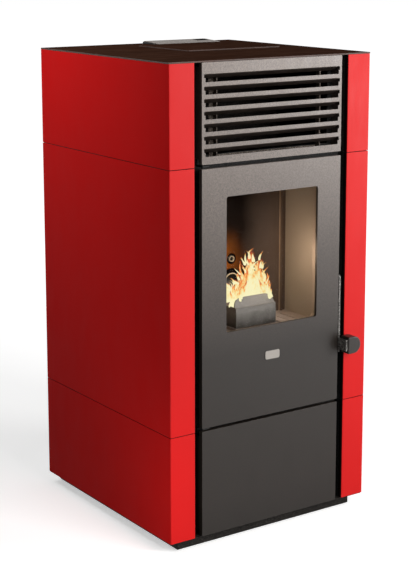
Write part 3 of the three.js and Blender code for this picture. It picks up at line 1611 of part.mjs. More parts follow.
function controlBoard() {
  const x1 = halfWidth - boardInset;
  const x0 = x1 - boardWidth;
  const z0 = panelZ + boardBase;
  const y0 = boardRearY - boardDepth;
  const corner = 3;
  const ventHeight = 5;
  const ventDepth = 4;
  const ventPitch = 20;
  const ventInset = 12;
  const outline = roundedShape(y0, boardRearY, z0, z0 + boardHeight, corner);
  const vents = Array.from({ length: 6 }, (_, i) => {
    const z = z0 + (i + 1) * ventPitch;
    return block(x0 + ventInset, x1 - ventInset, y0 - 1, y0 + ventDepth, z, z + ventHeight);
  });
  return cut(prism("x", outline, x0, x1, 2), ...vents);
}

const rockerAxisY = rearPanelY + 0.5;
const switchWall = 2;

function switchWell() {
  const depth = 22;
  const wellDepth = 11;
  const body = centred(switchX, inletZ, switchWidth, switchHeight, boardRearY - depth, rearPanelY + 1);
  const flangeZ0 = inletZ - switchHeight / 2 - inletLip;
  const flangeZ1 = inletZ + switchHeight / 2 + inletLip;
  const flangeX1 = switchX + switchWidth / 2 + inletLip;
  const flange = block(inletX, flangeX1, rearPanelY + seat, backY, flangeZ0, flangeZ1);
  const wide = switchWidth - 2 * switchWall;
  const high = switchHeight - 2 * switchWall;
  const well = centred(switchX, inletZ, wide, high, rockerAxisY - wellDepth, backY + 2);
  return { solid: join(body, flange), well };
}

// Mains socket and the well of the main switch, in one moulding set in the rear panel.
function mainsInlet() {
  const depth = 24;
  const floor = 4;
  const socketHalfWidth = 8.5;
  const socketHalfHeight = 12.5;
  const socketCorner = 3;
  const prongPitch = 7;
  const prongShift = 2; // the middle prong stands to one side of the other two
  const prongLength = 14;
  const prongWidth = 2;
  const prongHeight = 3;
  const y0 = boardRearY - depth;
  const flangeWidth = inletWidth + 2 * inletLip;
  const flangeHeight = inletHeight + 2 * inletLip;
  const body = centred(inletX, inletZ, inletWidth, inletHeight, y0, rearPanelY + 1);
  const flange = centred(inletX, inletZ, flangeWidth, flangeHeight, rearPanelY + seat, backY + 1);
  const socketShape = roundedShape(
    inletX - socketHalfWidth,
    inletX + socketHalfWidth,
    inletZ - socketHalfHeight,
    inletZ + socketHalfHeight,
    socketCorner,
  );
  const socket = prism("y", socketShape, y0 + floor, backY + 2, 2);
  const prongs = [-1, 0, 1].map((step) => {
    const x = inletX + (step === 0 ? prongShift : -prongShift);
    const z = inletZ + step * prongPitch;
    return centred(x, z, prongWidth, prongHeight, y0 + floor - 1, y0 + floor + prongLength);
  });
  const { solid, well } = switchWell();
  return join(cut(join(body, flange, solid), socket, well), ...prongs);
}

// Rocker seen from the side: two faces that meet in a shallow valley over its pivot.
function switchRocker() {
  const running = 0.6;
  const reach = switchHeight / 2 - switchWall - 2 * running;
  const half = switchWidth / 2 - switchWall - running;
  const rear = rockerAxisY - 3;
  const [high, valley, low] = [5, 2.5, 0.5].map((proud) => rockerAxisY + proud);
  const outline = [
    [rear, inletZ - reach],
    [rear, inletZ + reach],
    [high, inletZ + reach],
    [valley, inletZ],
    [low, inletZ - reach],
  ];
  return prism("x", outline, switchX - half, switchX + half);
}

add("control_board", controlBoard(), blackPlastic);
add("mains_inlet", mainsInlet(), blackPlastic);
add("switch_rocker", switchRocker(), blackPlastic);

export default stove;
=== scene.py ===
import json
import math
import random

import bmesh
import bpy
from mathutils import Matrix, Vector


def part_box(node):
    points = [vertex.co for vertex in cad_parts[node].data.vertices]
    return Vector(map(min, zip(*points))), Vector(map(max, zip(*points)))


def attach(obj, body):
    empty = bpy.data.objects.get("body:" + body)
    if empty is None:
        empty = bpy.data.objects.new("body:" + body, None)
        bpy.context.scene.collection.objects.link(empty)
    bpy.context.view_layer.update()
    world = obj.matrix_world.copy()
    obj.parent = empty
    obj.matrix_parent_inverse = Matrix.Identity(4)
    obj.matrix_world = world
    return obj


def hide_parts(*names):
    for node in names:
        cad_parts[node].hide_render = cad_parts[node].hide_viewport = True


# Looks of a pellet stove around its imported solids: finishes, rounded edges, fire, door seal, rear
# fasteners, lips of the rear liner's holes and tongues behind the casing's seams. Metres, in the frame
# of the part: +Z up, front towards -Y.

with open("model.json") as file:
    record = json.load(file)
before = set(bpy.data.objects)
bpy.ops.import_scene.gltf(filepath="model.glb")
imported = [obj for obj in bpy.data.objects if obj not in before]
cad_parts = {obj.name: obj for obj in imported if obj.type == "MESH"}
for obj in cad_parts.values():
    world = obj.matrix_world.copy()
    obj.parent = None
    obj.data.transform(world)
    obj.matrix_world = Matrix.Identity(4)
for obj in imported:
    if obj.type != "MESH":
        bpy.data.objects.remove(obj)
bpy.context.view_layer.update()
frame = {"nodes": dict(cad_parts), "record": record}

# ---------------------------------------------------------------- driving values
# Camera: a standing viewer left of the front, on a frame 419 wide and 580 high
FRAME_HEIGHT_PX = 580
FOCAL_PX = 1438.2
SENSOR = 36.0
EYE = Vector((-1.870, -2.721, 1.296))
HEADING = math.radians(-34.79)
TILT = math.radians(10.05)
SHIFT_UP = -0.15

# Edges: how far apart split corners may lie, how wide an edge is rounded and at most which share of the
# piece's thinnest side that takes, and from which angle a fold is rounded and up to which it is smooth
JOIN_WITHIN = 1e-5
EDGE_ROUND = 0.0006
ROUND_SHARE = 0.2
ROUND_ABOVE = math.radians(40)
SMOOTH_BELOW = math.radians(32)

# Fire
TONGUE_COUNT = 60
WISP_COUNT = 34
CORNER_LICKS = 5
TONGUE_RINGS = 16
TONGUE_SIDES = 8
FLAME_REACH = 0.104
FLAME_WAVE = 0.042
FLAME_SINK = 0.026
FULL_TWIST = 6.28
GOLDEN_STEP = 0.618034
SIDE_STEP = 0.381966
PELLET_COUNT = 110
PELLET_RADIUS = 0.003
PELLET_LENGTH = 0.014

# Holes of the rear liner, on the middle plane: radius, height and width of the soot ring
CHUTE_HOLE = (0.0225, 0.544, 0.011)
SIGHT_HOLE = (0.010, 0.599, 0.003)

# Joint lines of the rear liner, from the middle plane
BOARD_JOINT = 0.139

# How far the painted firelight reaches round the fire's hottest place
FIRELIGHT_REACH = 0.095

# Side casing
SIDE_SHEET = 0.0020

# Opening of the door frame: half its width, the height of its middle and half its height
FRAME_OPENING = (0.1295, 0.6275, 0.154)

# Door seal
ROPE_STRANDS = 4
ROPE_PITCH = 0.022
ROPE_SIDES = 12
ROPE_CORNER = 0.010
ROPE_STEP = 0.004

# Rear fasteners
SCREW_RADIUS = 0.0042
SCREW_HEIGHT = 0.0016
SCREW_INSET = 0.012
SCREW_ROWS = 6

nodes = frame["nodes"]
pot_low, pot_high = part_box("burn_pot")
liner_low, liner_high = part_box("firebox_liner_rear")
side_low, side_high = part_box("side_panel_right_lower")
grille_low, grille_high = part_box("air_grille")
hearth_centre = Vector((0.0, (pot_low.y + pot_high.y) / 2, pot_high.z))
hot_spot = Vector((-0.030, liner_low.y, SIGHT_HOLE[1] - 0.006))


# ---------------------------------------------------------------- node trees
def feed(tree, socket, value):
    """Links an output into a socket, or sets the socket's own value."""
    if isinstance(value, bpy.types.NodeSocket):
        tree.links.new(value, socket)
    else:
        socket.default_value = value


def put(tree, kind, settings=None, **sockets):
    """Adds a node; settings are its properties, and sockets are fed by name."""
    node = tree.nodes.new(kind)
    for name, value in (settings or {}).items():
        setattr(node, name, value)
    for name, value in sockets.items():
        feed(tree, node.inputs[name.replace("_", " ")], value)
    return node


def calc(tree, operation, a, b=0.0, clamp=False):
    node = tree.nodes.new("ShaderNodeMath")
    node.operation = operation
    node.use_clamp = clamp
    feed(tree, node.inputs[0], a)
    feed(tree, node.inputs[1], b)
    return node.outputs[0]


def blend_colours(tree, share, a, b, kind="MIX"):
    node = tree.nodes.new("ShaderNodeMix")
    node.data_type = "RGBA"
    node.blend_type = kind
    feed(tree, node.inputs[0], share)
    feed(tree, node.inputs[6], a)
    feed(tree, node.inputs[7], b)
    return node.outputs[2]


def rescale(tree, value, low, high, to_low=0.0, to_high=1.0):
    node = tree.nodes.new("ShaderNodeMapRange")
    feed(tree, node.inputs["Value"], value)
    for name, number in (("From Min", low), ("From Max", high), ("To Min", to_low), ("To Max", to_high)):
        feed(tree, node.inputs[name], number)
    return node.outputs[0]


def vector_calc(tree, operation, a, b=(0.0, 0.0, 0.0)):
    """A vector operation; gives its outputs, Vector and Value."""
    node = tree.nodes.new("ShaderNodeVectorMath")
    node.operation = operation
    feed(tree, node.inputs[0], a)
    feed(tree, node.inputs[1], b)
    return node.outputs


def stretch(tree, vector, by):
    return vector_calc(tree, "MULTIPLY", vector, by)["Vector"]


def split(tree, vector):
    return put(tree, "ShaderNodeSeparateXYZ", Vector=vector).outputs


def weigh(tree, a, share_of_a, b, share_of_b):
    """The sum of two values, each times its share."""
    return calc(tree, "ADD", calc(tree, "MULTIPLY", a, share_of_a), calc(tree, "MULTIPLY", b, share_of_b))


def colour_ramp(tree, value, stops):
    """A colour that runs with the value through the stops, each a place and its colour, in order."""
    ramp = put(tree, "ShaderNodeValToRGB", Fac=value)
    elements = ramp.color_ramp.elements
    elements[0].position, elements[0].color = stops[0]
    elements[-1].position, elements[-1].color = stops[-1]
    for place, colour in stops[1:-1]:
        elements.new(place).color = colour
    return ramp.outputs["Color"]


def part_position(tree):
    """Position in the frame of the part, which stays on a piece while its body moves."""
    return tree.nodes.new("ShaderNodeTexCoord").outputs["Object"]


def noise(tree, vector, scale, detail=2.0, roughness=0.5):
    """A cloud of values round 0.5."""
    settings = {"Vector": vector, "Scale": scale, "Detail": detail, "Roughness": roughness}
    return put(tree, "ShaderNodeTexNoise", **settings).outputs["Fac"]


def rgb(red, green, blue):
    """An sRGB colour of 0 to 255 as a linear one."""
    def linear(part):
        share = part / 255
        return share / 12.92 if share <= 0.04045 else ((share + 0.055) / 1.055) ** 2.4

    return (linear(red), linear(green), linear(blue), 1.0)


SOCKET_KINDS = {"number": "NodeSocketFloat", "vector": "NodeSocketVector", "colour": "NodeSocketColor"}


def effect(name, inputs, outputs):
    """A shader node group with named sockets; gives its tree, the inputs by name and its output node."""
    tree = bpy.data.node_groups.new(name, "ShaderNodeTree")
    for socket, kind, value in inputs:
        made = tree.interface.new_socket(socket, in_out="INPUT", socket_type=SOCKET_KINDS[kind])
        if value is not None:
            made.default_value = value
    for socket, kind in outputs:
        tree.interface.new_socket(socket, in_out="OUTPUT", socket_type=SOCKET_KINDS[kind])
    given = tree.nodes.new("NodeGroupInput").outputs
    result = tree.nodes.new("NodeGroupOutput").inputs
    return tree, given, result


def use(tree, group, **sockets):
    node = tree.nodes.new("ShaderNodeGroup")
    node.node_tree = group
    for name, value in sockets.items():
        feed(tree, node.inputs[name.replace("_", " ")], value)
    return node.outputs


# ---------------------------------------------------------------- effects shared by finishes
def make_fleck():
    """Fine two-tone grain of a sprayed and stoved coat, with its pebbled height."""
    tree, given, result = effect(
        "coat_fleck",
        [
            ("Position", "vector", None),
            ("Base", "colour", (0.2, 0.2, 0.2, 1)),
            ("Fleck", "colour", (0.3, 0.3, 0.3, 1)),
            ("Grain", "number", 900.0),
            ("Share", "number", 0.5),
        ],
        [("Colour", "colour"), ("Height", "number")],
    )
    fine = noise(tree, given["Position"], given["Grain"], 1.0)
    coarse = noise(tree, given["Position"], calc(tree, "MULTIPLY", given["Grain"], 0.31), 2.0)
    grain = weigh(tree, fine, 0.6, coarse, 0.4)
    low = calc(tree, "SUBTRACT", 0.62, calc(tree, "MULTIPLY", given["Share"], 0.2))
    mask = rescale(tree, grain, calc(tree, "SUBTRACT", low, 0.1), calc(tree, "ADD", low, 0.1))
    feed(tree, result["Colour"], blend_colours(tree, mask, given["Base"], given["Fleck"]))
    feed(tree, result["Height"], grain)
    return tree


def make_tone_drift():
    """Slow, faint drift of a coat's tone and gloss over a large sheet."""
    tree, given, result = effect(
        "tone_drift",
        [
            ("Position", "vector", None),
            ("Colour", "colour", (0.5, 0.5, 0.5, 1)),
            ("Amount", "number", 0.08),
            ("Roughness", "number", 0.4),
        ],
        [("Colour", "colour"), ("Roughness", "number")],
    )
    slow = noise(tree, given["Position"], 3.2, 3.0, 0.55)
    swing = rescale(tree, slow, 0.3, 0.7, -1.0, 1.0)
    factor = calc(tree, "ADD", 1.0, calc(tree, "MULTIPLY", swing, given["Amount"]))
    tone = put(tree, "ShaderNodeCombineColor", Red=factor, Green=factor, Blue=factor)
    feed(tree, result["Colour"], blend_colours(tree, 1.0, given["Colour"], tone.outputs[0], "MULTIPLY"))
    wiped = noise(tree, stretch(tree, given["Position"], (9.0, 9.0, 3.0)), 4.0, 4.0, 0.6)
    gloss = rescale(tree, wiped, 0.3, 0.7, -0.05, 0.05)
    feed(tree, result["Roughness"], calc(tree, "ADD", given["Roughness"], gloss, clamp=True))
    return tree


def make_rubbed_edge():
    """Mask of the outer edges, where a coat wears first and a pale painted highlight is laid, broken up by
    fine noise.
    """
    tree, given, result = effect(
        "rubbed_edge_and_highlight",
        [("Position", "vector", None), ("Width", "number", 0.0012), ("Amount", "number", 0.5)],
        [("Mask", "number")],
    )
    rounded = put(tree, "ShaderNodeBevel", {"samples": 3}, Radius=given["Width"])
    true_normal = tree.nodes.new("ShaderNodeNewGeometry").outputs["Normal"]
    likeness = vector_calc(tree, "DOT_PRODUCT", rounded.outputs[0], true_normal)["Value"]
    edge = rescale(tree, likeness, 0.97, 0.80)
    broken = noise(tree, given["Position"], 160.0, 3.0, 0.65)
    chips = rescale(tree, broken, 0.42, 0.62)
    worn = calc(tree, "MULTIPLY", edge, chips)
    feed(tree, result["Mask"], calc(tree, "MULTIPLY", worn, given["Amount"], clamp=True))
    return tree


def make_drawn_grain():
    """Long fine streaks left by rolling or brushing; Along is the stretch on each axis."""
    tree, given, result = effect(
        "drawn_grain",
        [("Position", "vector", None), ("Along", "vector", (1, 1, 1)), ("Fineness", "number", 60.0)],
        [("Streak", "number"), ("Height", "number")],
    )
    drawn_out = stretch(tree, given["Position"], given["Along"])
    fine = noise(tree, drawn_out, given["Fineness"], 4.0, 0.62)
    broad = noise(tree, drawn_out, calc(tree, "MULTIPLY", given["Fineness"], 0.23), 2.0)
    mixed = weigh(tree, fine, 0.65, broad, 0.35)
    feed(tree, result["Streak"], rescale(tree, mixed, 0.36, 0.64))
    feed(tree, result["Height"], mixed)
    return tree


def make_dust():
    """Thin dust that gathers on faces turned up."""
    tree, given, result = effect(
        "settled_dust",
        [("Position", "vector", None), ("Amount", "number", 0.2)],
        [("Mask", "number")],
    )
    normal = tree.nodes.new("ShaderNodeNewGeometry").outputs["Normal"]
    up = split(tree, normal)["Z"]
    facing = rescale(tree, up, 0.35, 1.0)
    patches = rescale(tree, noise(tree, given["Position"], 34.0, 5.0, 0.7), 0.35, 0.75)
    lying = calc(tree, "MULTIPLY", facing, patches)
    feed(tree, result["Mask"], calc(tree, "MULTIPLY", lying, given["Amount"]))
    return tree


def make_fire_marks():
    """How much painted firelight a surface in the chamber takes round a hot spot, and how much darker it is
    over the pot.
    """
    tree, given, result = effect(
        "fire_marks_and_light",
        [
            ("Position", "vector", None),
            ("Hot Spot", "vector", (0, 0, 0)),
            ("Baked Reach", "number", 0.15),
            ("Plume Width", "number", 0.15),
        ],
        [("Firelight", "number"), ("Darker", "number")],
    )
    away = vector_calc(tree, "DISTANCE", given["Position"], given["Hot Spot"])["Value"]
    cloud = rescale(tree, noise(tree, given["Position"], 16.0, 4.0, 0.6), 0.3, 0.7, -0.008, 0.008)
    reach = calc(tree, "ADD", away, cloud)
    near = rescale(tree, reach, given["Baked Reach"], 0.02)
    feed(tree, result["Firelight"], calc(tree, "POWER", near, 2.0))
    aside = calc(tree, "ABSOLUTE", split(tree, given["Position"])["X"])
    ragged = calc(tree, "ADD", aside, cloud)
    feed(tree, result["Darker"], rescale(tree, ragged, given["Plume Width"], 0.03))
    return tree


COAT_FLECK = make_fleck()
TONE_DRIFT = make_tone_drift()
RUBBED_EDGE_AND_HIGHLIGHT = make_rubbed_edge()
DRAWN_GRAIN = make_drawn_grain()
DUST = make_dust()
FIRE_MARKS_AND_LIGHT = make_fire_marks()


# ---------------------------------------------------------------- finishes
def new_finish(name):
    """An empty material with a Principled surface; gives the material, its tree and that shader."""
    material = bpy.data.materials.new(name)
    material.use_nodes = True
    tree = material.node_tree
    tree.nodes.clear()
    surface = tree.nodes.new("ShaderNodeBsdfPrincipled")
    output = tree.nodes.new("ShaderNodeOutputMaterial")
    tree.links.new(surface.outputs[0], output.inputs["Surface"])
    return material, tree, surface.inputs


def square_on_sheen(tree, level):
    """Gloss of a flat face that dies away when it is seen at a very low angle."""
    slant = put(tree, "ShaderNodeLayerWeight", Blend=0.5).outputs["Facing"]
    return rescale(tree, slant, 0.55, 0.85, level, 0.0)


def bump(tree, height, depth):
    return put(tree, "ShaderNodeBump", Height=height, Distance=depth, Strength=1.0).outputs[0]


def red_enamel():
    """Stoved red coat on the outer faces; the inner sides of the folds are painted near black as shade."""
    material, tree, surface = new_finish("red_enamel")
    where = part_position(tree)
    tone = use(tree, TONE_DRIFT, Position=where, Colour=rgb(203, 18, 18), Amount=0.03, Roughness=0.5)
    # Pale rubbed edges: wear, and a painted highlight.
    edge = use(tree, RUBBED_EDGE_AND_HIGHLIGHT, Position=where, Width=0.0015, Amount=0.3)
    coated = blend_colours(tree, edge["Mask"], tone["Colour"], rgb(232, 80, 74))
    place = split(tree, where)
    skin = 0.0009
    on_side = calc(tree, "GREATER_THAN", calc(tree, "ABSOLUTE", place["X"]), side_high.x - skin)
    on_end = calc(tree, "GREATER_THAN", calc(tree, "ABSOLUTE", place["Y"]), side_high.y - skin)
    outside = calc(tree, "MAXIMUM", on_side, on_end)
    # Painted shade: all but the outer sides and ends get a near black brown.
    feed(tree, surface["Base Color"], blend_colours(tree, outside, rgb(20, 14, 12), coated))
    feed(tree, surface["Roughness"], tone["Roughness"])
    sheen = calc(tree, "ADD", 0.03, calc(tree, "MULTIPLY", on_end, 0.17))
    feed(tree, surface["Specular IOR Level"], sheen)
    peel = noise(tree, where, 420.0, 2.0)
    feed(tree, surface["Normal"], bump(tree, peel, 0.00004))
    return material


def grey_enamel(name, shaded_depth=None):
    """Warm grey coat with a fine metallic fleck, and painted shade that darkens it towards the foot of the
    stove.

    Past shaded_depth behind the face, between its edges, the coat is painted near black brown as shade.
    """
    material, tree, surface = new_finish(name)
    where = part_position(tree)
    base, flake = rgb(84, 73, 66), rgb(118, 104, 95)
    fleck = use(tree, COAT_FLECK, Position=where, Base=base, Fleck=flake, Grain=700.0, Share=0.6)
    place = split(tree, where)
    # Painted shade: lower down the stove the coat is blended towards a dark brown.
    foot_shade_stops = ((0.0, 1.0), (0.10, 0.97), (0.40, 0.97), (0.58, 0.70), (0.78, 0.26), (1.0, 0.0))
    stops = [(share, (grey, grey, grey, 1)) for share, grey in foot_shade_stops]
    foot = colour_ramp(tree, rescale(tree, place["Z"], 0.0, grille_high.z), stops)
    foot_shaded = blend_colours(tree, foot, fleck["Colour"], rgb(26, 21, 17))
    tone = use(tree, TONE_DRIFT, Position=where, Colour=foot_shaded, Amount=0.04, Roughness=0.40)
    # Pale rubbed edges: wear, and a painted highlight.
    edge = use(tree, RUBBED_EDGE_AND_HIGHLIGHT, Position=where, Width=0.001, Amount=0.35)
    colour = blend_colours(tree, edge["Mask"], tone["Colour"], rgb(160, 150, 142))
    # Painted shade: behind the face, between its edges, the coat turns near black brown.
    if shaded_depth:
        behind = calc(tree, "GREATER_THAN", place["Y"], grille_low.y + shaded_depth)
        between = calc(tree, "LESS_THAN", calc(tree, "ABSOLUTE", place["X"]), grille_high.x - 0.004)
        colour = blend_colours(tree, calc(tree, "MULTIPLY", behind, between), colour, rgb(24, 17, 12))
    feed(tree, surface["Base Color"], colour)
    feed(tree, surface["Roughness"], tone["Roughness"])
    feed(tree, surface["Specular IOR Level"], rescale(tree, foot, 0.2, 1.0, 0.55, 0.27))
    feed(tree, surface["Normal"], bump(tree, fleck["Height"], 0.00008))
    return material


def brown_enamel():
    """Dark brown coat of the top, drawn out along the sheet, with a little dust."""
    material, tree, surface = new_finish("brown_enamel")
    where = part_position(tree)
    grain = use(tree, DRAWN_GRAIN, Position=where, Along=(0.6, 9.0, 1.0), Fineness=26.0)
    streaked = blend_colours(tree, grain["Streak"], rgb(40, 21, 13), rgb(70, 45, 34))
    tone = use(tree, TONE_DRIFT, Position=where, Colour=streaked, Amount=0.08, Roughness=0.5)
    dust = use(tree, DUST, Position=where, Amount=0.05)
    # Pale rubbed edges: wear, and a painted highlight.
    edge = use(tree, RUBBED_EDGE_AND_HIGHLIGHT, Position=where, Width=0.0012, Amount=0.4)
    dusted = blend_colours(tree, dust["Mask"], tone["Colour"], rgb(126, 112, 100))
    feed(tree, surface["Base Color"], blend_colours(tree, edge["Mask"], dusted, rgb(128, 112, 100)))
    feed(tree, surface["Roughness"], tone["Roughness"])
    feed(tree, surface["Specular IOR Level"], square_on_sheen(tree, 0.3))
    feed(tree, surface["Normal"], bump(tree, grain["Height"], 0.00012))
    return material


def stove_paint(name, base, worn, roughness, metallic=0.0, gloss=0.15):
    """Matt heat-proof paint on sheet steel, with rubbed edges that also carry a painted highlight."""
    material, tree, surface = new_finish(name)
    where = part_position(tree)
    fleck = use(tree, COAT_FLECK, Position=where, Base=base, Fleck=worn, Grain=1100.0, Share=0.2)
    tone = use(tree, TONE_DRIFT, Position=where, Colour=fleck["Colour"], Amount=0.1, Roughness=roughness)
    # Pale rubbed edges: wear, and a painted highlight.
    edge = use(tree, RUBBED_EDGE_AND_HIGHLIGHT, Position=where, Width=0.001, Amount=0.5)
    feed(tree, surface["Base Color"], blend_colours(tree, edge["Mask"], tone["Colour"], worn))
    feed(tree, surface["Roughness"], tone["Roughness"])
    surface["Metallic"].default_value = metallic
    surface["Specular IOR Level"].default_value = gloss
    feed(tree, surface["Normal"], bump(tree, fleck["Height"], 0.0001))
    return material


def pot_steel():
    """Heat-dulled steel of the pot: paler at the rim, browned and sooted down its front."""
    material, tree, surface = new_finish("pot_steel")
    where = part_position(tree)
    base, flake = rgb(132, 128, 122), rgb(158, 152, 146)
    fleck = use(tree, COAT_FLECK, Position=where, Base=base, Fleck=flake, Grain=1100.0, Share=0.2)
    height = split(tree, where)["Z"]
    cloud = noise(tree, where, 60.0, 4.0, 0.6)
    ragged = calc(tree, "ADD", height, rescale(tree, cloud, 0.3, 0.7, -0.006, 0.006))
    sooted = rescale(tree, ragged, pot_high.z - 0.030, pot_low.z + 0.004, 0.0, 0.85)
    colour = blend_colours(tree, sooted, fleck["Colour"], rgb(46, 42, 36))
    # Pale rubbed edges: wear, and a painted highlight.
    edge = use(tree, RUBBED_EDGE_AND_HIGHLIGHT, Position=where, Width=0.001, Amount=0.6)
    feed(tree, surface["Base Color"], blend_colours(tree, edge["Mask"], colour, rgb(176, 168, 160)))
    feed(tree, surface["Roughness"], rescale(tree, cloud, 0.2, 0.8, 0.40, 0.56))
    surface["Metallic"].default_value = 0.2
    surface["Specular IOR Level"].default_value = 0.2
    feed(tree, surface["Normal"], bump(tree, fleck["Height"], 0.0001))
    return material


def cast_skin(tree, where):
    """Sandy grain of a casting, and its dark colour."""
    sand = noise(tree, where, 520.0, 4.0, 0.6)
    return sand, blend_colours(tree, rescale(tree, sand, 0.35, 0.65), rgb(48, 45, 42), rgb(78, 73, 68))


def frame_iron():
    """Cast iron of the door frame, with the sides of its opening painted pale as a highlight."""
    material, tree, surface = new_finish("frame_iron")
    where = part_position(tree)
    sand, skin = cast_skin(tree, where)
    painted_light = blend_colours(tree, sand, rgb(176, 158, 142), rgb(214, 196, 178))
    place = split(tree, where)
    half_width, middle, half_height = FRAME_OPENING
    skin_depth = 0.0008
    off_middle = calc(tree, "ABSOLUTE", calc(tree, "SUBTRACT", place["Z"], middle))
    in_width = calc(tree, "LESS_THAN", calc(tree, "ABSOLUTE", place["X"]), half_width + skin_depth)
    in_height = calc(tree, "LESS_THAN", off_middle, half_height + skin_depth)
    rim = calc(tree, "MULTIPLY", in_width, in_height)
    # Painted highlight: the sides of the opening are painted pale.
    feed(tree, surface["Base Color"], blend_colours(tree, rim, skin, painted_light))
    feed(tree, surface["Roughness"], rescale(tree, sand, 0.3, 0.7, 0.6, 0.72))
    surface["Specular IOR Level"].default_value = 0.2
    feed(tree, surface["Normal"], bump(tree, sand, 0.0003))
    return material


def cast_iron():
    """Bare cast iron with a sandy skin and a little dust."""
    material, tree, surface = new_finish("cast_iron")
    where = part_position(tree)
    sand, skin = cast_skin(tree, where)
    tone = use(tree, TONE_DRIFT, Position=where, Colour=skin, Amount=0.12, Roughness=0.66)
    dust = use(tree, DUST, Position=where, Amount=0.25)
    feed(tree, surface["Base Color"], blend_colours(tree, dust["Mask"], tone["Colour"], rgb(128, 120, 110)))
    feed(tree, surface["Roughness"], tone["Roughness"])
    surface["Metallic"].default_value = 0.35
    feed(tree, surface["Normal"], bump(tree, sand, 0.0003))
    return material


def chamber_finish(name, clean, painted_light, dark_tone, band_width, roughness, depth, holes=()):
    """A surface in the chamber: darker over the pot, with painted firelight round the hot spot, plain at the
    sides.

    Each of the holes, as its radius, height and ring, has a black, sooty ring round it on the middle
    plane, and a board with holes shows its pale joint lines.
    """
    material, tree, surface = new_finish(name)
    where = part_position(tree)
    marks = use(
        tree, FIRE_MARKS_AND_LIGHT, Position=where, Hot_Spot=hot_spot, Baked_Reach=FIRELIGHT_REACH, Plume_Width=band_width
    )
    grit = noise(tree, where, 340.0, 4.0, 0.6)
    speckled = blend_colours(tree, rescale(tree, grit, 0.3, 0.7, 0.0, 0.12), clean, dark_tone)
    # Darker over the pot, fading to the sides.
    colour = blend_colours(tree, marks["Darker"], speckled, dark_tone)
    # Painted light: round the hot spot the colour turns to the glow of the fire.
    colour = blend_colours(tree, marks["Firelight"], colour, painted_light)
    for radius, height, collar in holes:
        from_hole = vector_calc(tree, "SUBTRACT", where, (0.0, 0.0, height))["Vector"]
        away = vector_calc(tree, "LENGTH", stretch(tree, from_hole, (1.0, 0.0, 1.0)))["Value"]
        ring = rescale(tree, away, radius + collar, radius + collar * 0.8)
        colour = blend_colours(tree, ring, colour, rgb(15, 12, 11))
    if holes:
        place = split(tree, where)
        off_joint = calc(tree, "SUBTRACT", calc(tree, "ABSOLUTE", place["X"]), BOARD_JOINT)
        joint = rescale(tree, calc(tree, "ABSOLUTE", off_joint), 0.0012, 0.0004)
        colour = blend_colours(tree, joint, colour, rgb(172, 148, 124))
    feed(tree, surface["Base Color"], colour)
    feed(tree, surface["Roughness"], rescale(tree, grit, 0.2, 0.8, roughness - 0.06, roughness + 0.06))
    surface["Specular IOR Level"].default_value = 0.0
    feed(tree, surface["Normal"], bump(tree, grit, depth))
    return material


def galvanised():
    """Zinc coated sheet: angular spangle under faint rolling streaks."""
    material, tree, surface = new_finish("galvanised")
    where = part_position(tree)
    cells = put(tree, "ShaderNodeTexVoronoi", Vector=where, Scale=95.0)
    spangle = put(tree, "ShaderNodeSeparateColor", Color=cells.outputs["Color"]).outputs["Red"]
    grain = use(tree, DRAWN_GRAIN, Position=where, Along=(1.0, 1.0, 7.0), Fineness=24.0)
    zinc = blend_colours(tree, spangle, rgb(132, 134, 135), rgb(168, 170, 171))
    drawn = blend_colours(tree, calc(tree, "MULTIPLY", grain["Streak"], 0.25), zinc, rgb(110, 112, 113))
    dust = use(tree, DUST, Position=where, Amount=0.2)
    feed(tree, surface["Base Color"], blend_colours(tree, dust["Mask"], drawn, rgb(140, 134, 126)))
    feed(tree, surface["Roughness"], rescale(tree, spangle, 0.0, 1.0, 0.38, 0.56))
    surface["Metallic"].default_value = 0.9
    feed(tree, surface["Normal"], bump(tree, grain["Height"], 0.00004))
    return material


def bright_steel():
    """Bare bright steel with fine lines of drawing and a pale painted highlight on its edges."""
    material, tree, surface = new_finish("bright_steel")
    where = part_position(tree)
    grain = use(tree, DRAWN_GRAIN, Position=where, Along=(8.0, 1.0, 1.0), Fineness=40.0)
    drawn = blend_colours(tree, grain["Streak"], rgb(150, 151, 152), rgb(196, 197, 198))
    # Pale rubbed edges: wear, and a painted highlight.
    edge = use(tree, RUBBED_EDGE_AND_HIGHLIGHT, Position=where, Width=0.0008, Amount=0.5)
    feed(tree, surface["Base Color"], blend_colours(tree, edge["Mask"], drawn, rgb(224, 224, 222)))
    feed(tree, surface["Roughness"], rescale(tree, grain["Streak"], 0.0, 1.0, 0.36, 0.26))
    surface["Metallic"].default_value = 1.0
    feed(tree, surface["Normal"], bump(tree, grain["Height"], 0.00002))
    return material


def stove_glass():
    """Clear ceramic pane with a faint smoke tint: see-through square on, veiled at a slant."""
    material, tree, surface = new_finish("stove_glass")
    where = part_position(tree)
    haze = noise(tree, where, 14.0, 4.0, 0.65)
    tint = blend_colours(tree, rescale(tree, haze, 0.4, 0.7), rgb(18, 15, 13), rgb(44, 36, 30))
    feed(tree, surface["Base Color"], tint)
    feed(tree, surface["Roughness"], rescale(tree, haze, 0.3, 0.7, 0.03, 0.09))
    surface["Specular IOR Level"].default_value = 0.05
    slant = put(tree, "ShaderNodeFresnel", IOR=1.5).outputs[0]
    veil = rescale(tree, haze, 0.3, 0.8, 0.03, 0.07)
    feed(tree, surface["Alpha"], calc(tree, "ADD", veil, calc(tree, "MULTIPLY", slant, 0.5), clamp=True))
    return material


def badge_metal():
    """Bare satin plate, with nothing on it."""
    material, tree, surface = new_finish("badge_metal")
    where = part_position(tree)
    satin = noise(tree, where, 900.0, 2.0)
    feed(tree, surface["Base Color"], blend_colours(tree, satin, rgb(126, 121, 115), rgb(138, 133, 127)))
    feed(tree, surface["Roughness"], rescale(tree, satin, 0.3, 0.7, 0.34, 0.42))
    surface["Metallic"].default_value = 0.7
    return material


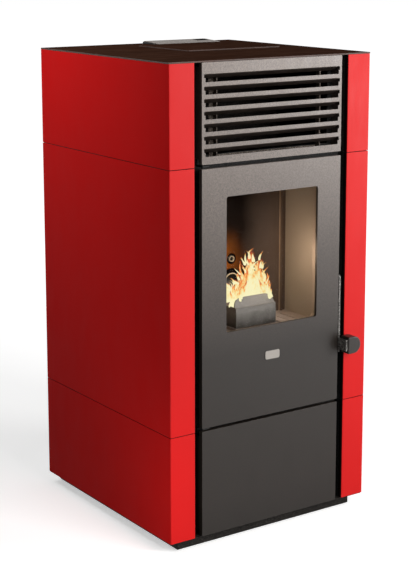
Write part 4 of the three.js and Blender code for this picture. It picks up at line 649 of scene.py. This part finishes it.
def black_gloss():
    """Dark gloss of the display, a little smeared."""
    material, tree, surface = new_finish("display_gloss")
    where = part_position(tree)
    smear = noise(tree, where, 90.0, 3.0)
    feed(tree, surface["Base Color"], blend_colours(tree, smear, rgb(8, 8, 9), rgb(16, 16, 18)))
    feed(tree, surface["Roughness"], rescale(tree, smear, 0.3, 0.7, 0.06, 0.14))
    feed(tree, surface["Specular IOR Level"], square_on_sheen(tree, 0.5))
    return material


def moulded_plastic(name, base, pale, roughness):
    """Moulded plastic with a fine spark-eroded grain and a little dust."""
    material, tree, surface = new_finish(name)
    where = part_position(tree)
    fleck = use(tree, COAT_FLECK, Position=where, Base=base, Fleck=pale, Grain=1500.0, Share=0.3)
    dust = use(tree, DUST, Position=where, Amount=0.12)
    feed(tree, surface["Base Color"], blend_colours(tree, dust["Mask"], fleck["Colour"], rgb(120, 116, 110)))
    gloss = rescale(tree, fleck["Height"], 0.2, 0.8, roughness - 0.05, roughness + 0.05)
    feed(tree, surface["Roughness"], gloss)
    feed(tree, surface["Normal"], bump(tree, fleck["Height"], 0.00008))
    return material


def braided_rope():
    """Glass fibre braid: crossing yarns seen as two slanted bands."""
    material, tree, surface = new_finish("braided_rope")
    where = part_position(tree)
    bands = []
    for lean in (1.0, -1.0):
        turn = (0.0, lean * math.radians(45), 0.0)
        turned = put(tree, "ShaderNodeMapping", Vector=where, Rotation=turn).outputs[0]
        bands.append(put(tree, "ShaderNodeTexWave", Vector=turned, Scale=150.0).outputs["Fac"])
    braid = calc(tree, "MULTIPLY", bands[0], bands[1])
    feed(tree, surface["Base Color"], blend_colours(tree, braid, rgb(58, 56, 53), rgb(138, 134, 126)))
    feed(tree, surface["Roughness"], rescale(tree, braid, 0.0, 1.0, 0.98, 0.86))
    feed(tree, surface["Normal"], bump(tree, braid, 0.0006))
    return material


def flame_light():
    """Flame: pale yellow in its body, orange and red towards the tips and where it thins."""
    material, tree, surface = new_finish("flame")
    where = part_position(tree)
    reach = put(tree, "ShaderNodeAttribute", {"attribute_name": "reach"}).outputs["Fac"]
    flicker = noise(tree, stretch(tree, where, (1.0, 1.0, 0.55)), 95.0, 4.0, 0.62)
    streak = rescale(tree, flicker, 0.36, 0.66, -0.34, 0.26)
    cooled = calc(tree, "ADD", calc(tree, "POWER", reach, 1.5), streak)
    stops = (
        (0.20, (1.0, 0.93, 0.55, 1)),
        (0.46, (1.0, 0.82, 0.36, 1)),
        (0.66, (1.0, 0.45, 0.12, 1)),
        (0.82, (0.88, 0.18, 0.05, 1)),
        (1.0, (0.60, 0.07, 0.02, 1)),
    )
    feed(tree, surface["Emission Color"], colour_ramp(tree, cooled, stops))
    surface["Emission Strength"].default_value = 1.15
    surface["Base Color"].default_value = (0.0, 0.0, 0.0, 1)
    surface["Specular IOR Level"].default_value = 0.0
    surface["Roughness"].default_value = 1.0
    feed(tree, surface["Alpha"], rescale(tree, cooled, 1.15, 0.7, 0.25, 1.0))
    return material


def glowing_pellet():
    """Charred pellets with orange glow where they lie close together."""
    material, tree, surface = new_finish("glowing_pellet")
    where = part_position(tree)
    cloud = noise(tree, where, 120.0, 3.0, 0.6)
    glow = rescale(tree, cloud, 0.42, 0.62)
    feed(tree, surface["Base Color"], blend_colours(tree, glow, rgb(40, 32, 28), rgb(120, 60, 30)))
    embers = blend_colours(tree, glow, (0.02, 0.004, 0.0, 1), (1.0, 0.22, 0.02, 1))
    feed(tree, surface["Emission Color"], embers)
    surface["Emission Strength"].default_value = 1.6
    surface["Roughness"].default_value = 0.9
    feed(tree, surface["Normal"], bump(tree, cloud, 0.0004))
    return material


finish_of_slot = {
    "red_enamel": red_enamel(),
    "grey_enamel": grey_enamel("grey_enamel"),
    "brown_enamel": brown_enamel(),
    "black_steel": stove_paint("black_steel", rgb(20, 20, 20), rgb(70, 68, 66), 0.6),
    "plinth_steel": stove_paint("plinth_steel", rgb(16, 14, 13), rgb(70, 66, 62), 0.62, 0.0, 0.06),
    "cast_iron": cast_iron(),
    "vermiculite": chamber_finish(
        "vermiculite",
        clean=rgb(196, 182, 166),
        painted_light=rgb(196, 160, 124),
        dark_tone=rgb(60, 48, 40),
        band_width=0.12,
        roughness=0.6,
        depth=0.0002,
    ),
    "galvanised": galvanised(),
    "bright_steel": bright_steel(),
    "stove_glass": stove_glass(),
    "display": black_gloss(),
    "seal_rope": braided_rope(),
    "black_plastic": moulded_plastic("black_plastic", rgb(24, 25, 27), rgb(44, 45, 47), 0.42),
    "console_grey": stove_paint("console_grey", rgb(112, 104, 98), rgb(150, 142, 136), 0.5),
}
own_finish = {
    # The grille's coat is painted near black behind its face, as shade.
    "air_grille": grey_enamel("grille_enamel", 0.0016),
    "badge_plate": badge_metal(),
    "firebox_liner_rear": chamber_finish(
        "rear_board",
        clean=rgb(120, 102, 90),
        painted_light=rgb(140, 78, 28),
        dark_tone=rgb(24, 17, 13),
        band_width=0.178,
        roughness=0.65,
        depth=0.0001,
        holes=(CHUTE_HOLE, SIGHT_HOLE),
    ),
    "flame_baffle": stove_paint("baffle_steel", rgb(44, 36, 31), rgb(84, 72, 62), 0.7),
    "burn_pot": pot_steel(),
    "door_frame": frame_iron(),
    "hearth_plate": chamber_finish(
        "hearth_iron",
        clean=rgb(196, 182, 172),
        painted_light=rgb(180, 158, 144),
        dark_tone=rgb(92, 80, 72),
        band_width=0.09,
        roughness=0.55,
        depth=0.0003,
    ),
    # Painted shade: the stiffener, hopper, safety grid and firebox shell behind the grille are painted near
    # black; the stiffener's pale edges are a painted highlight.
    "louvre_stiffener": stove_paint("stiffener_painted_shade", rgb(46, 37, 32), rgb(150, 138, 126), 0.6),
    "hopper": stove_paint("hopper_painted_shade", rgb(20, 17, 16), rgb(60, 54, 50), 0.7),
    "hopper_safety_grid": stove_paint("grid_painted_shade", rgb(24, 21, 20), rgb(66, 60, 55), 0.6),
    "firebox_shell": stove_paint("shell_painted_shade", rgb(22, 19, 18), rgb(60, 54, 50), 0.7),
    # The lever's very pale rubbed edges are a painted highlight.
    "handle_lever": stove_paint("lever_steel", rgb(44, 42, 40), rgb(198, 194, 188), 0.42, 0.5),
}


# ---------------------------------------------------------------- carried-over solids
def make_smoothing():
    """Geometry nodes that shade curved faces smooth and keep folded edges crisp."""
    tree = bpy.data.node_groups.new("smooth_below_angle", "GeometryNodeTree")
    tree.interface.new_socket("Geometry", in_out="INPUT", socket_type="NodeSocketGeometry")
    tree.interface.new_socket("Geometry", in_out="OUTPUT", socket_type="NodeSocketGeometry")
    given = tree.nodes.new("NodeGroupInput")
    result = tree.nodes.new("NodeGroupOutput")
    faces = tree.nodes.new("GeometryNodeSetShadeSmooth")
    faces.domain = "FACE"
    edges = tree.nodes.new("GeometryNodeSetShadeSmooth")
    edges.domain = "EDGE"
    angle = tree.nodes.new("GeometryNodeInputMeshEdgeAngle")
    sharp = tree.nodes.new("FunctionNodeCompare")
    sharp.data_type = "FLOAT"
    sharp.operation = "GREATER_THAN"
    sharp.inputs[1].default_value = SMOOTH_BELOW
    tree.links.new(given.outputs[0], faces.inputs["Geometry"])
    tree.links.new(faces.outputs[0], edges.inputs["Geometry"])
    tree.links.new(angle.outputs["Unsigned Angle"], sharp.inputs[0])
    tree.links.new(sharp.outputs[0], edges.inputs["Selection"])
    edges.inputs["Shade Smooth"].default_value = False
    tree.links.new(edges.outputs[0], result.inputs[0])
    return tree


SMOOTHING = make_smoothing()


def finish_edges(piece, width):
    """Joins split corners, rounds the edges by width and shades the curved faces smooth."""
    weld = piece.modifiers.new("weld", "WELD")
    weld.merge_threshold = JOIN_WITHIN
    if width > 0:
        rounding = piece.modifiers.new("edge_round", "BEVEL")
        rounding.width = width
        rounding.segments = 2
        rounding.limit_method = "ANGLE"
        rounding.angle_limit = ROUND_ABOVE
    shading = piece.modifiers.new("shading", "NODES")
    shading.node_group = SMOOTHING
    flats = piece.modifiers.new("flat_faces", "WEIGHTED_NORMAL")
    flats.keep_sharp = True


def paint(piece, material):
    piece.data.materials.clear()
    piece.data.materials.append(material)


# Flat boards and panes, kept as they are
PLAIN_PANES = ("door_glass", "console_display", "firebox_liner_rear")
slot_of_node = {part["node"]: part["material_slot"] for part in frame["record"]["subparts"]}
for name, node in nodes.items():
    paint(node, own_finish.get(name, finish_of_slot[slot_of_node[name]]))
    if name not in PLAIN_PANES:
        low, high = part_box(name)
        finish_edges(node, min(EDGE_ROUND, min(high - low) * ROUND_SHARE))


# ---------------------------------------------------------------- pieces made here
def mesh_piece(name, bm, material, body):
    """Turns a bmesh into a piece that rides on a body."""
    bmesh.ops.recalc_face_normals(bm, faces=bm.faces[:])
    mesh = bpy.data.meshes.new(name)
    bm.to_mesh(mesh)
    bm.free()
    piece = bpy.data.objects.new(name, mesh)
    bpy.context.scene.collection.objects.link(piece)
    mesh.materials.append(material)
    mesh.polygons.foreach_set("use_smooth", [True] * len(mesh.polygons))
    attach(piece, body)
    return piece


def skin_rings(bm, rings, loop=False):
    """Skins equal rings of points with quads, and closes the two ends or joins them to a loop."""
    made = [[bm.verts.new(point) for point in ring] for ring in rings]
    pairs = list(zip(made, made[1:]))
    if loop:
        pairs.append((made[-1], made[0]))
    for lower, upper in pairs:
        count = len(lower)
        for i in range(count):
            j = (i + 1) % count
            bm.faces.new((lower[i], lower[j], upper[j], upper[i]))
    if not loop:
        bm.faces.new(list(reversed(made[0])))
        bm.faces.new(made[-1])


def flame_tongue(bm, reach, foot, height, width, lean, curl, twist):
    """One lick of flame: a flat tapering tube that sways, bends over and curls near its tip."""
    rings = []
    waves = height / FLAME_WAVE
    for i in range(TONGUE_RINGS):
        t = i / (TONGUE_RINGS - 1)
        sway = math.sin(math.pi * waves * t + twist) * curl * t
        depth_sway = math.cos(math.pi * waves * t + twist) * curl * t * 0.5
        centre = foot + Vector((lean.x * t * t + sway, lean.y * t * t + depth_sway, height * t))
        swell = math.sin(math.pi * min(1.0, 0.28 + 0.72 * t)) ** 0.8
        flutter = 1.0 + 0.22 * math.sin(2.3 * math.pi * waves * t + 2 * twist)
        radius = max(0.0003, width * swell * flutter * (1.0 - 0.45 * t))
        ring = []
        for k in range(TONGUE_SIDES):
            turn = 2 * math.pi * k / TONGUE_SIDES
            offset = Vector((math.cos(turn) * radius, math.sin(turn) * radius * 0.5, 0))
            ring.append(centre + Matrix.Rotation(0.6 * math.sin(twist) + t * 0.8, 3, "Z") @ offset)
        rings.append(ring)
    before = len(bm.verts)
    skin_rings(bm, rings)
    bm.verts.ensure_lookup_table()
    for i, vert in enumerate(bm.verts[before:]):
        vert[reach] = (i // TONGUE_SIDES) / (TONGUE_RINGS - 1)


def flame_height(u, v):
    """Height of the fire over the rim at u, -1 left to 1 right, and v, -1 front to 1 back."""
    aside = 0.81 * u - 0.36 * v - 0.37
    return FLAME_REACH * (0.15 + 0.85 * math.exp(-((aside / 0.56) ** 2)))


def spread_out(i, step, start=0.0):
    """The i-th of many values from -1 to 1 that leap by a share of the range, so they never bunch."""
    return 2 * ((i * step + start) % 1.0) - 1


def make_flames():
    """Licks from the whole pot, tallest right of its middle, low ones at its corner and loose wisps."""
    chance = random.Random(7)
    bm = bmesh.new()
    reach = bm.verts.layers.float.new("reach")
    middle = (pot_low + pot_high) / 2
    half_x = (pot_high.x - pot_low.x) / 2 - 0.007
    half_y = (pot_high.y - pot_low.y) / 2 - 0.015

    def lick(foot, height, widths, lean, curl):
        width = chance.uniform(*widths)
        flame_tongue(bm, reach, foot, height, width, lean, curl, chance.uniform(0, FULL_TWIST))

    for i in range(TONGUE_COUNT):
        u = spread_out(i, GOLDEN_STEP)
        v = spread_out(i, SIDE_STEP, 0.21)
        foot_z = pot_high.z - FLAME_SINK + 0.010 * chance.random()
        foot = Vector((middle.x + u * half_x, middle.y + v * half_y, foot_z))
        height = 0.022 + flame_height(u, v) * chance.uniform(0.68, 1.0)
        lean = Vector((chance.uniform(-0.008, 0.012), chance.uniform(-0.008, 0.004), 0))
        curl = chance.uniform(0.004, 0.010)
        lick(foot, height, (0.007, 0.012), lean, curl)
    for i in range(CORNER_LICKS):
        right, front = 0.90 + 0.05 * i, 1.25 - 0.10 * i
        foot = Vector((middle.x + half_x * right, middle.y - half_y * front, pot_high.z - 0.012))
        height = chance.uniform(0.034, 0.056) - 0.004 * i
        lean = Vector((chance.uniform(0.0, 0.010), 0, 0))
        lick(foot, height, (0.005, 0.008), lean, 0.007)
    for i in range(WISP_COUNT):
        u = spread_out(i, GOLDEN_STEP, 0.37)
        v = chance.uniform(-0.8, 0.2)
        start = chance.uniform(0.45, 0.95) * flame_height(u, v)
        side = 1 if u > 0.2 else -1
        foot = Vector((middle.x + u * half_x * 1.05, middle.y + v * half_y, pot_high.z + start))
        lean = Vector((side * chance.uniform(0.004, 0.016), 0, 0))
        height = chance.uniform(0.012, 0.026)
        curl = chance.uniform(0.005, 0.011)
        lick(foot, height, (0.0024, 0.0044), lean, curl)
    flames = mesh_piece("flames", bm, flame_light(), "pot")
    flames.visible_shadow = False


def make_pellets():
    """A heap of short pellets in the pot, higher in its middle."""
    chance = random.Random(11)
    bm = bmesh.new()
    floor = pot_low.z + 0.0035
    half_x = (pot_high.x - pot_low.x) / 2 - 0.013
    half_y = (pot_high.y - pot_low.y) / 2 - 0.014
    middle = (pot_low + pot_high) / 2
    for _ in range(PELLET_COUNT):
        u, v = chance.uniform(-1, 1), chance.uniform(-1, 1)
        heap = 0.030 * (1 - 0.6 * max(abs(u), abs(v)))
        height = floor + PELLET_RADIUS + heap * chance.random()
        place = Vector((middle.x + u * half_x, middle.y + 0.002 + v * half_y, height))
        spin = Matrix.Rotation(chance.uniform(0, math.pi), 4, "Z")
        tip = Matrix.Rotation(math.radians(90 + chance.uniform(-18, 18)), 4, "X")
        bmesh.ops.create_cone(
            bm,
            cap_ends=True,
            segments=8,
            radius1=PELLET_RADIUS,
            radius2=PELLET_RADIUS,
            depth=PELLET_LENGTH * chance.uniform(0.6, 1.0),
            matrix=Matrix.Translation(place) @ (spin @ tip),
        )
    mesh_piece("burning_pellets", bm, glowing_pellet(), "pot")


def rounded_loop(half_x, low_z, high_z, corner, steps):
    """Points of a rounded upright rectangle, with the direction of travel at each."""
    corners = (
        (half_x - corner, high_z - corner, 0.0),
        (-half_x + corner, high_z - corner, 90.0),
        (-half_x + corner, low_z + corner, 180.0),
        (half_x - corner, low_z + corner, 270.0),
    )
    points = []
    for cx, cz, start in corners:
        for i in range(steps + 1):
            turn = math.radians(start + 90 * i / steps)
            points.append(Vector((cx + corner * math.cos(turn), 0, cz + corner * math.sin(turn))))
    even = []
    for a, b in zip(points, points[1:] + points[:1]):
        parts = max(1, round((b - a).length / ROPE_STEP))
        even.extend(a.lerp(b, k / parts) for k in range(parts))
    return even


def make_seal_rope():
    """Round braided seal in the back of the door, with a swell at each crossing of its yarns."""
    low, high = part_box("door_rope_seal")
    radius = (high.y - low.y) / 2
    y = (low.y + high.y) / 2
    path = rounded_loop(high.x - radius, low.z + radius, high.z - radius, ROPE_CORNER, 8)
    bm = bmesh.new()
    rings = []
    travelled = 0.0
    count = len(path)
    for i, point in enumerate(path):
        along = (path[(i + 1) % count] - path[i - 1]).normalized()
        out = Vector((along.z, 0, -along.x))
        travelled += (point - path[i - 1]).length if i else 0.0
        ring = []
        for k in range(ROPE_SIDES):
            turn = 2 * math.pi * k / ROPE_SIDES
            swell = math.cos(ROPE_STRANDS * turn + 2 * math.pi * travelled / ROPE_PITCH)
            r = radius * (0.93 + 0.05 * swell)
            centre = Vector((point.x, y, point.z))
            ring.append(centre + out * (r * math.cos(turn)) + Vector((0, r * math.sin(turn), 0)))
        rings.append(ring)
    skin_rings(bm, rings, loop=True)
    rope = mesh_piece("door_seal_rope", bm, finish_of_slot["seal_rope"], "door")
    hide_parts("door_rope_seal")


def lathe(profile, sides, place, axis):
    """Turns (radius, height) points about an axis at place."""
    turn_to = Vector((0, 0, 1)).rotation_difference(axis).to_matrix()
    rings = []
    for radius, height in profile:
        ring = []
        for k in range(sides):
            turn = 2 * math.pi * k / sides
            ring.append(place + turn_to @ Vector((radius * math.cos(turn), radius * math.sin(turn), height)))
        rings.append(ring)
    return rings


def make_seam_strips():
    """Thin tongues behind the seams of the side casing, which keep light out of the gaps."""
    bm = bmesh.new()
    sheet_gap, thickness = 0.0002, 0.0010
    half_height, chamfered_half = 0.012, 0.0112
    end_gap = 0.014
    inner = side_high.x - SIDE_SHEET - sheet_gap
    for seam in ("side_panel_right_middle", "side_panel_right_upper"):
        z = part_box(seam)[0].z
        for side in (-1, 1):
            section = (
                (side * inner, z - half_height),
                (side * inner, z + half_height),
                (side * (inner - thickness), z + chamfered_half),
                (side * (inner - thickness), z - chamfered_half),
            )
            ends = (side_low.y + end_gap, side_high.y - end_gap)
            skin_rings(bm, [[Vector((x, y, height)) for x, height in section] for y in ends])
    mesh_piece("seam_tongues", bm, finish_of_slot["black_steel"], "stove")


def make_rear_screws():
    """Domed screws round the rear panel's edge and over its middle."""
    low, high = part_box("rear_panel")
    bm = bmesh.new()
    end_gap, off_middle = 0.03, 0.09
    span = high.z - low.z - 2 * end_gap
    rows = [low.z + end_gap + span * i / (SCREW_ROWS - 1) for i in range(SCREW_ROWS)]
    places = [(x, z) for x in (low.x + SCREW_INSET, high.x - SCREW_INSET) for z in rows]
    places += [(x, z) for x in (-off_middle, off_middle) for z in (low.z + SCREW_INSET, high.z - SCREW_INSET)]
    profile = (
        (SCREW_RADIUS, 0.0),
        (SCREW_RADIUS, SCREW_HEIGHT * 0.35),
        (SCREW_RADIUS * 0.8, SCREW_HEIGHT * 0.8),
        (SCREW_RADIUS * 0.42, SCREW_HEIGHT),
        (SCREW_RADIUS * 0.34, SCREW_HEIGHT * 0.45),
    )
    for x, z in places:
        skin_rings(bm, lathe(profile, 16, Vector((x, high.y + 0.0001, z)), Vector((0, 1, 0))))
    mesh_piece("rear_panel_screws", bm, finish_of_slot["bright_steel"], "stove")


def make_hole_rims():
    """Lips of the chute and of the sight tube, just inside their holes in the rear liner, their pale colour a
    painted highlight.
    """
    bm = bmesh.new()
    front = liner_low.y + 0.0006
    depth = 0.006
    chute = (CHUTE_HOLE[0] - 0.0004, CHUTE_HOLE[1], 0.0022)
    sight_tube = (0.0068, SIGHT_HOLE[1], 0.0014)
    for radius, height, wall in (chute, sight_tube):
        profile = ((radius - wall, 0.0), (radius - wall, depth), (radius, depth), (radius, 0.0))
        skin_rings(bm, lathe(profile, 32, Vector((0, front, height)), Vector((0, 1, 0))), loop=True)
    # Painted highlight: the lips are coloured pale.
    lips = stove_paint("lip_steel_painted_highlight", rgb(196, 178, 150), rgb(232, 218, 192), 0.5, 0.1)
    mesh_piece("hole_rims", bm, lips, "stove")


make_flames()
make_pellets()
make_hole_rims()
make_seal_rope()
make_rear_screws()
make_seam_strips()


# ---------------------------------------------------------------- floor, light, camera
def seen_share(tree):
    """1 for a ray that is seen, straight, mirrored or through glass, and 0 for one that only lights."""
    path = tree.nodes.new("ShaderNodeLightPath").outputs
    seen = calc(tree, "ADD", path["Is Camera Ray"], path["Is Glossy Ray"])
    return calc(tree, "ADD", seen, path["Is Transmission Ray"], clamp=True)


def make_floor():
    """Pale floor: it takes the shadow, and its glow runs from half strength near the stove, a painted shade
    round it, to full white far away.
    """
    bpy.ops.mesh.primitive_circle_add(vertices=96, radius=30, fill_type="NGON")
    floor = bpy.context.object
    floor.name = "floor"
    material, tree, surface = new_finish("pale_floor")
    far = rescale(tree, vector_calc(tree, "LENGTH", part_position(tree))["Value"], 0.55, 2.6)
    seen = seen_share(tree)
    surface["Roughness"].default_value = 1.0
    surface["Specular IOR Level"].default_value = 0.0
    feed(tree, surface["Base Color"], blend_colours(tree, seen, rgb(84, 82, 80), rgb(244, 243, 242)))
    # Painted shade: near the stove the floor glows only half as bright, also in what the stove's faces
    # mirror.
    glow_dimmed_near = calc(tree, "MULTIPLY", seen, rescale(tree, far, 0.0, 1.0, 0.5, 1.0))
    surface["Emission Color"].default_value = (1.0, 1.0, 1.0, 1.0)
    feed(tree, surface["Emission Strength"], glow_dimmed_near)
    floor.data.materials.append(material)


def make_world():
    """White to the eye and in reflections; a low even fill for everything else."""
    world = bpy.data.worlds.new("studio")
    bpy.context.scene.world = world
    world.use_nodes = True
    tree = world.node_tree
    tree.nodes.clear()
    strength = rescale(tree, seen_share(tree), 0.0, 1.0, 0.06, 1.0)
    background = put(tree, "ShaderNodeBackground", Color=(1, 1, 1, 1), Strength=strength)
    output = tree.nodes.new("ShaderNodeOutputWorld")
    tree.links.new(background.outputs[0], output.inputs["Surface"])


def softbox(name, place, target, width, height, power, spread=180.0):
    """A white lamp with a rectangular face, turned to its target; the spread is in degrees."""
    lamp = bpy.data.lights.new(name, "AREA")
    lamp.shape = "RECTANGLE"
    lamp.size = width
    lamp.size_y = height
    lamp.energy = power
    lamp.spread = math.radians(spread)
    box = bpy.data.objects.new(name, lamp)
    bpy.context.scene.collection.objects.link(box)
    box.location = place
    box.rotation_euler = (Vector(target) - Vector(place)).to_track_quat("-Z", "Y").to_euler()


def fire_lamp(name, place, power):
    """The light of the fire itself, inside the chamber."""
    lamp = bpy.data.lights.new(name, "POINT")
    lamp.energy = power
    lamp.color = (1.0, 0.79, 0.60)
    lamp.shadow_soft_size = 0.03
    flame = bpy.data.objects.new(name, lamp)
    bpy.context.scene.collection.objects.link(flame)
    flame.location = place


def make_lights():
    softbox("front_key", (0.35, -3.3, 2.0), (0.0, -0.27, 0.55), 1.8, 1.8, 87.0)
    softbox("right_horizon", (2.5, -2.4, 1.05), (0.15, -0.27, 0.95), 1.3, 1.2, 74.0)
    softbox("left_low", (-0.64, -0.58, 0.05), (-0.27, -0.26, 0.12), 0.25, 0.2, 0.62, 120.0)
    softbox("left_high", (-0.95, 0.40, 1.55), (-0.27, 0.12, 0.95), 0.5, 0.5, 4.4, 140.0)
    softbox("overhead", (0.3, -0.2, 3.0), (0.0, 0.0, 0.5), 2.4, 2.4, 10.0)
    fire_lamp("fire_glow", hearth_centre + Vector((0.03, -0.02, 0.05)), 0.26)
    fire_lamp("side_glow", hearth_centre + Vector((0.085, -0.060, 0.09)), 0.17)


def make_camera():
    lens = bpy.data.cameras.new("viewer")
    lens.sensor_width = SENSOR
    lens.lens = SENSOR * FOCAL_PX / FRAME_HEIGHT_PX
    lens.shift_y = SHIFT_UP
    lens.clip_end = 100
    viewer = bpy.data.objects.new("viewer", lens)
    bpy.context.scene.collection.objects.link(viewer)
    viewer.location = EYE
    viewer.rotation_euler = (math.pi / 2 - TILT, 0, HEADING)
    bpy.context.scene.camera = viewer


make_floor()
make_world()
make_lights()
make_camera()
bpy.context.scene.view_settings.view_transform = "Standard"
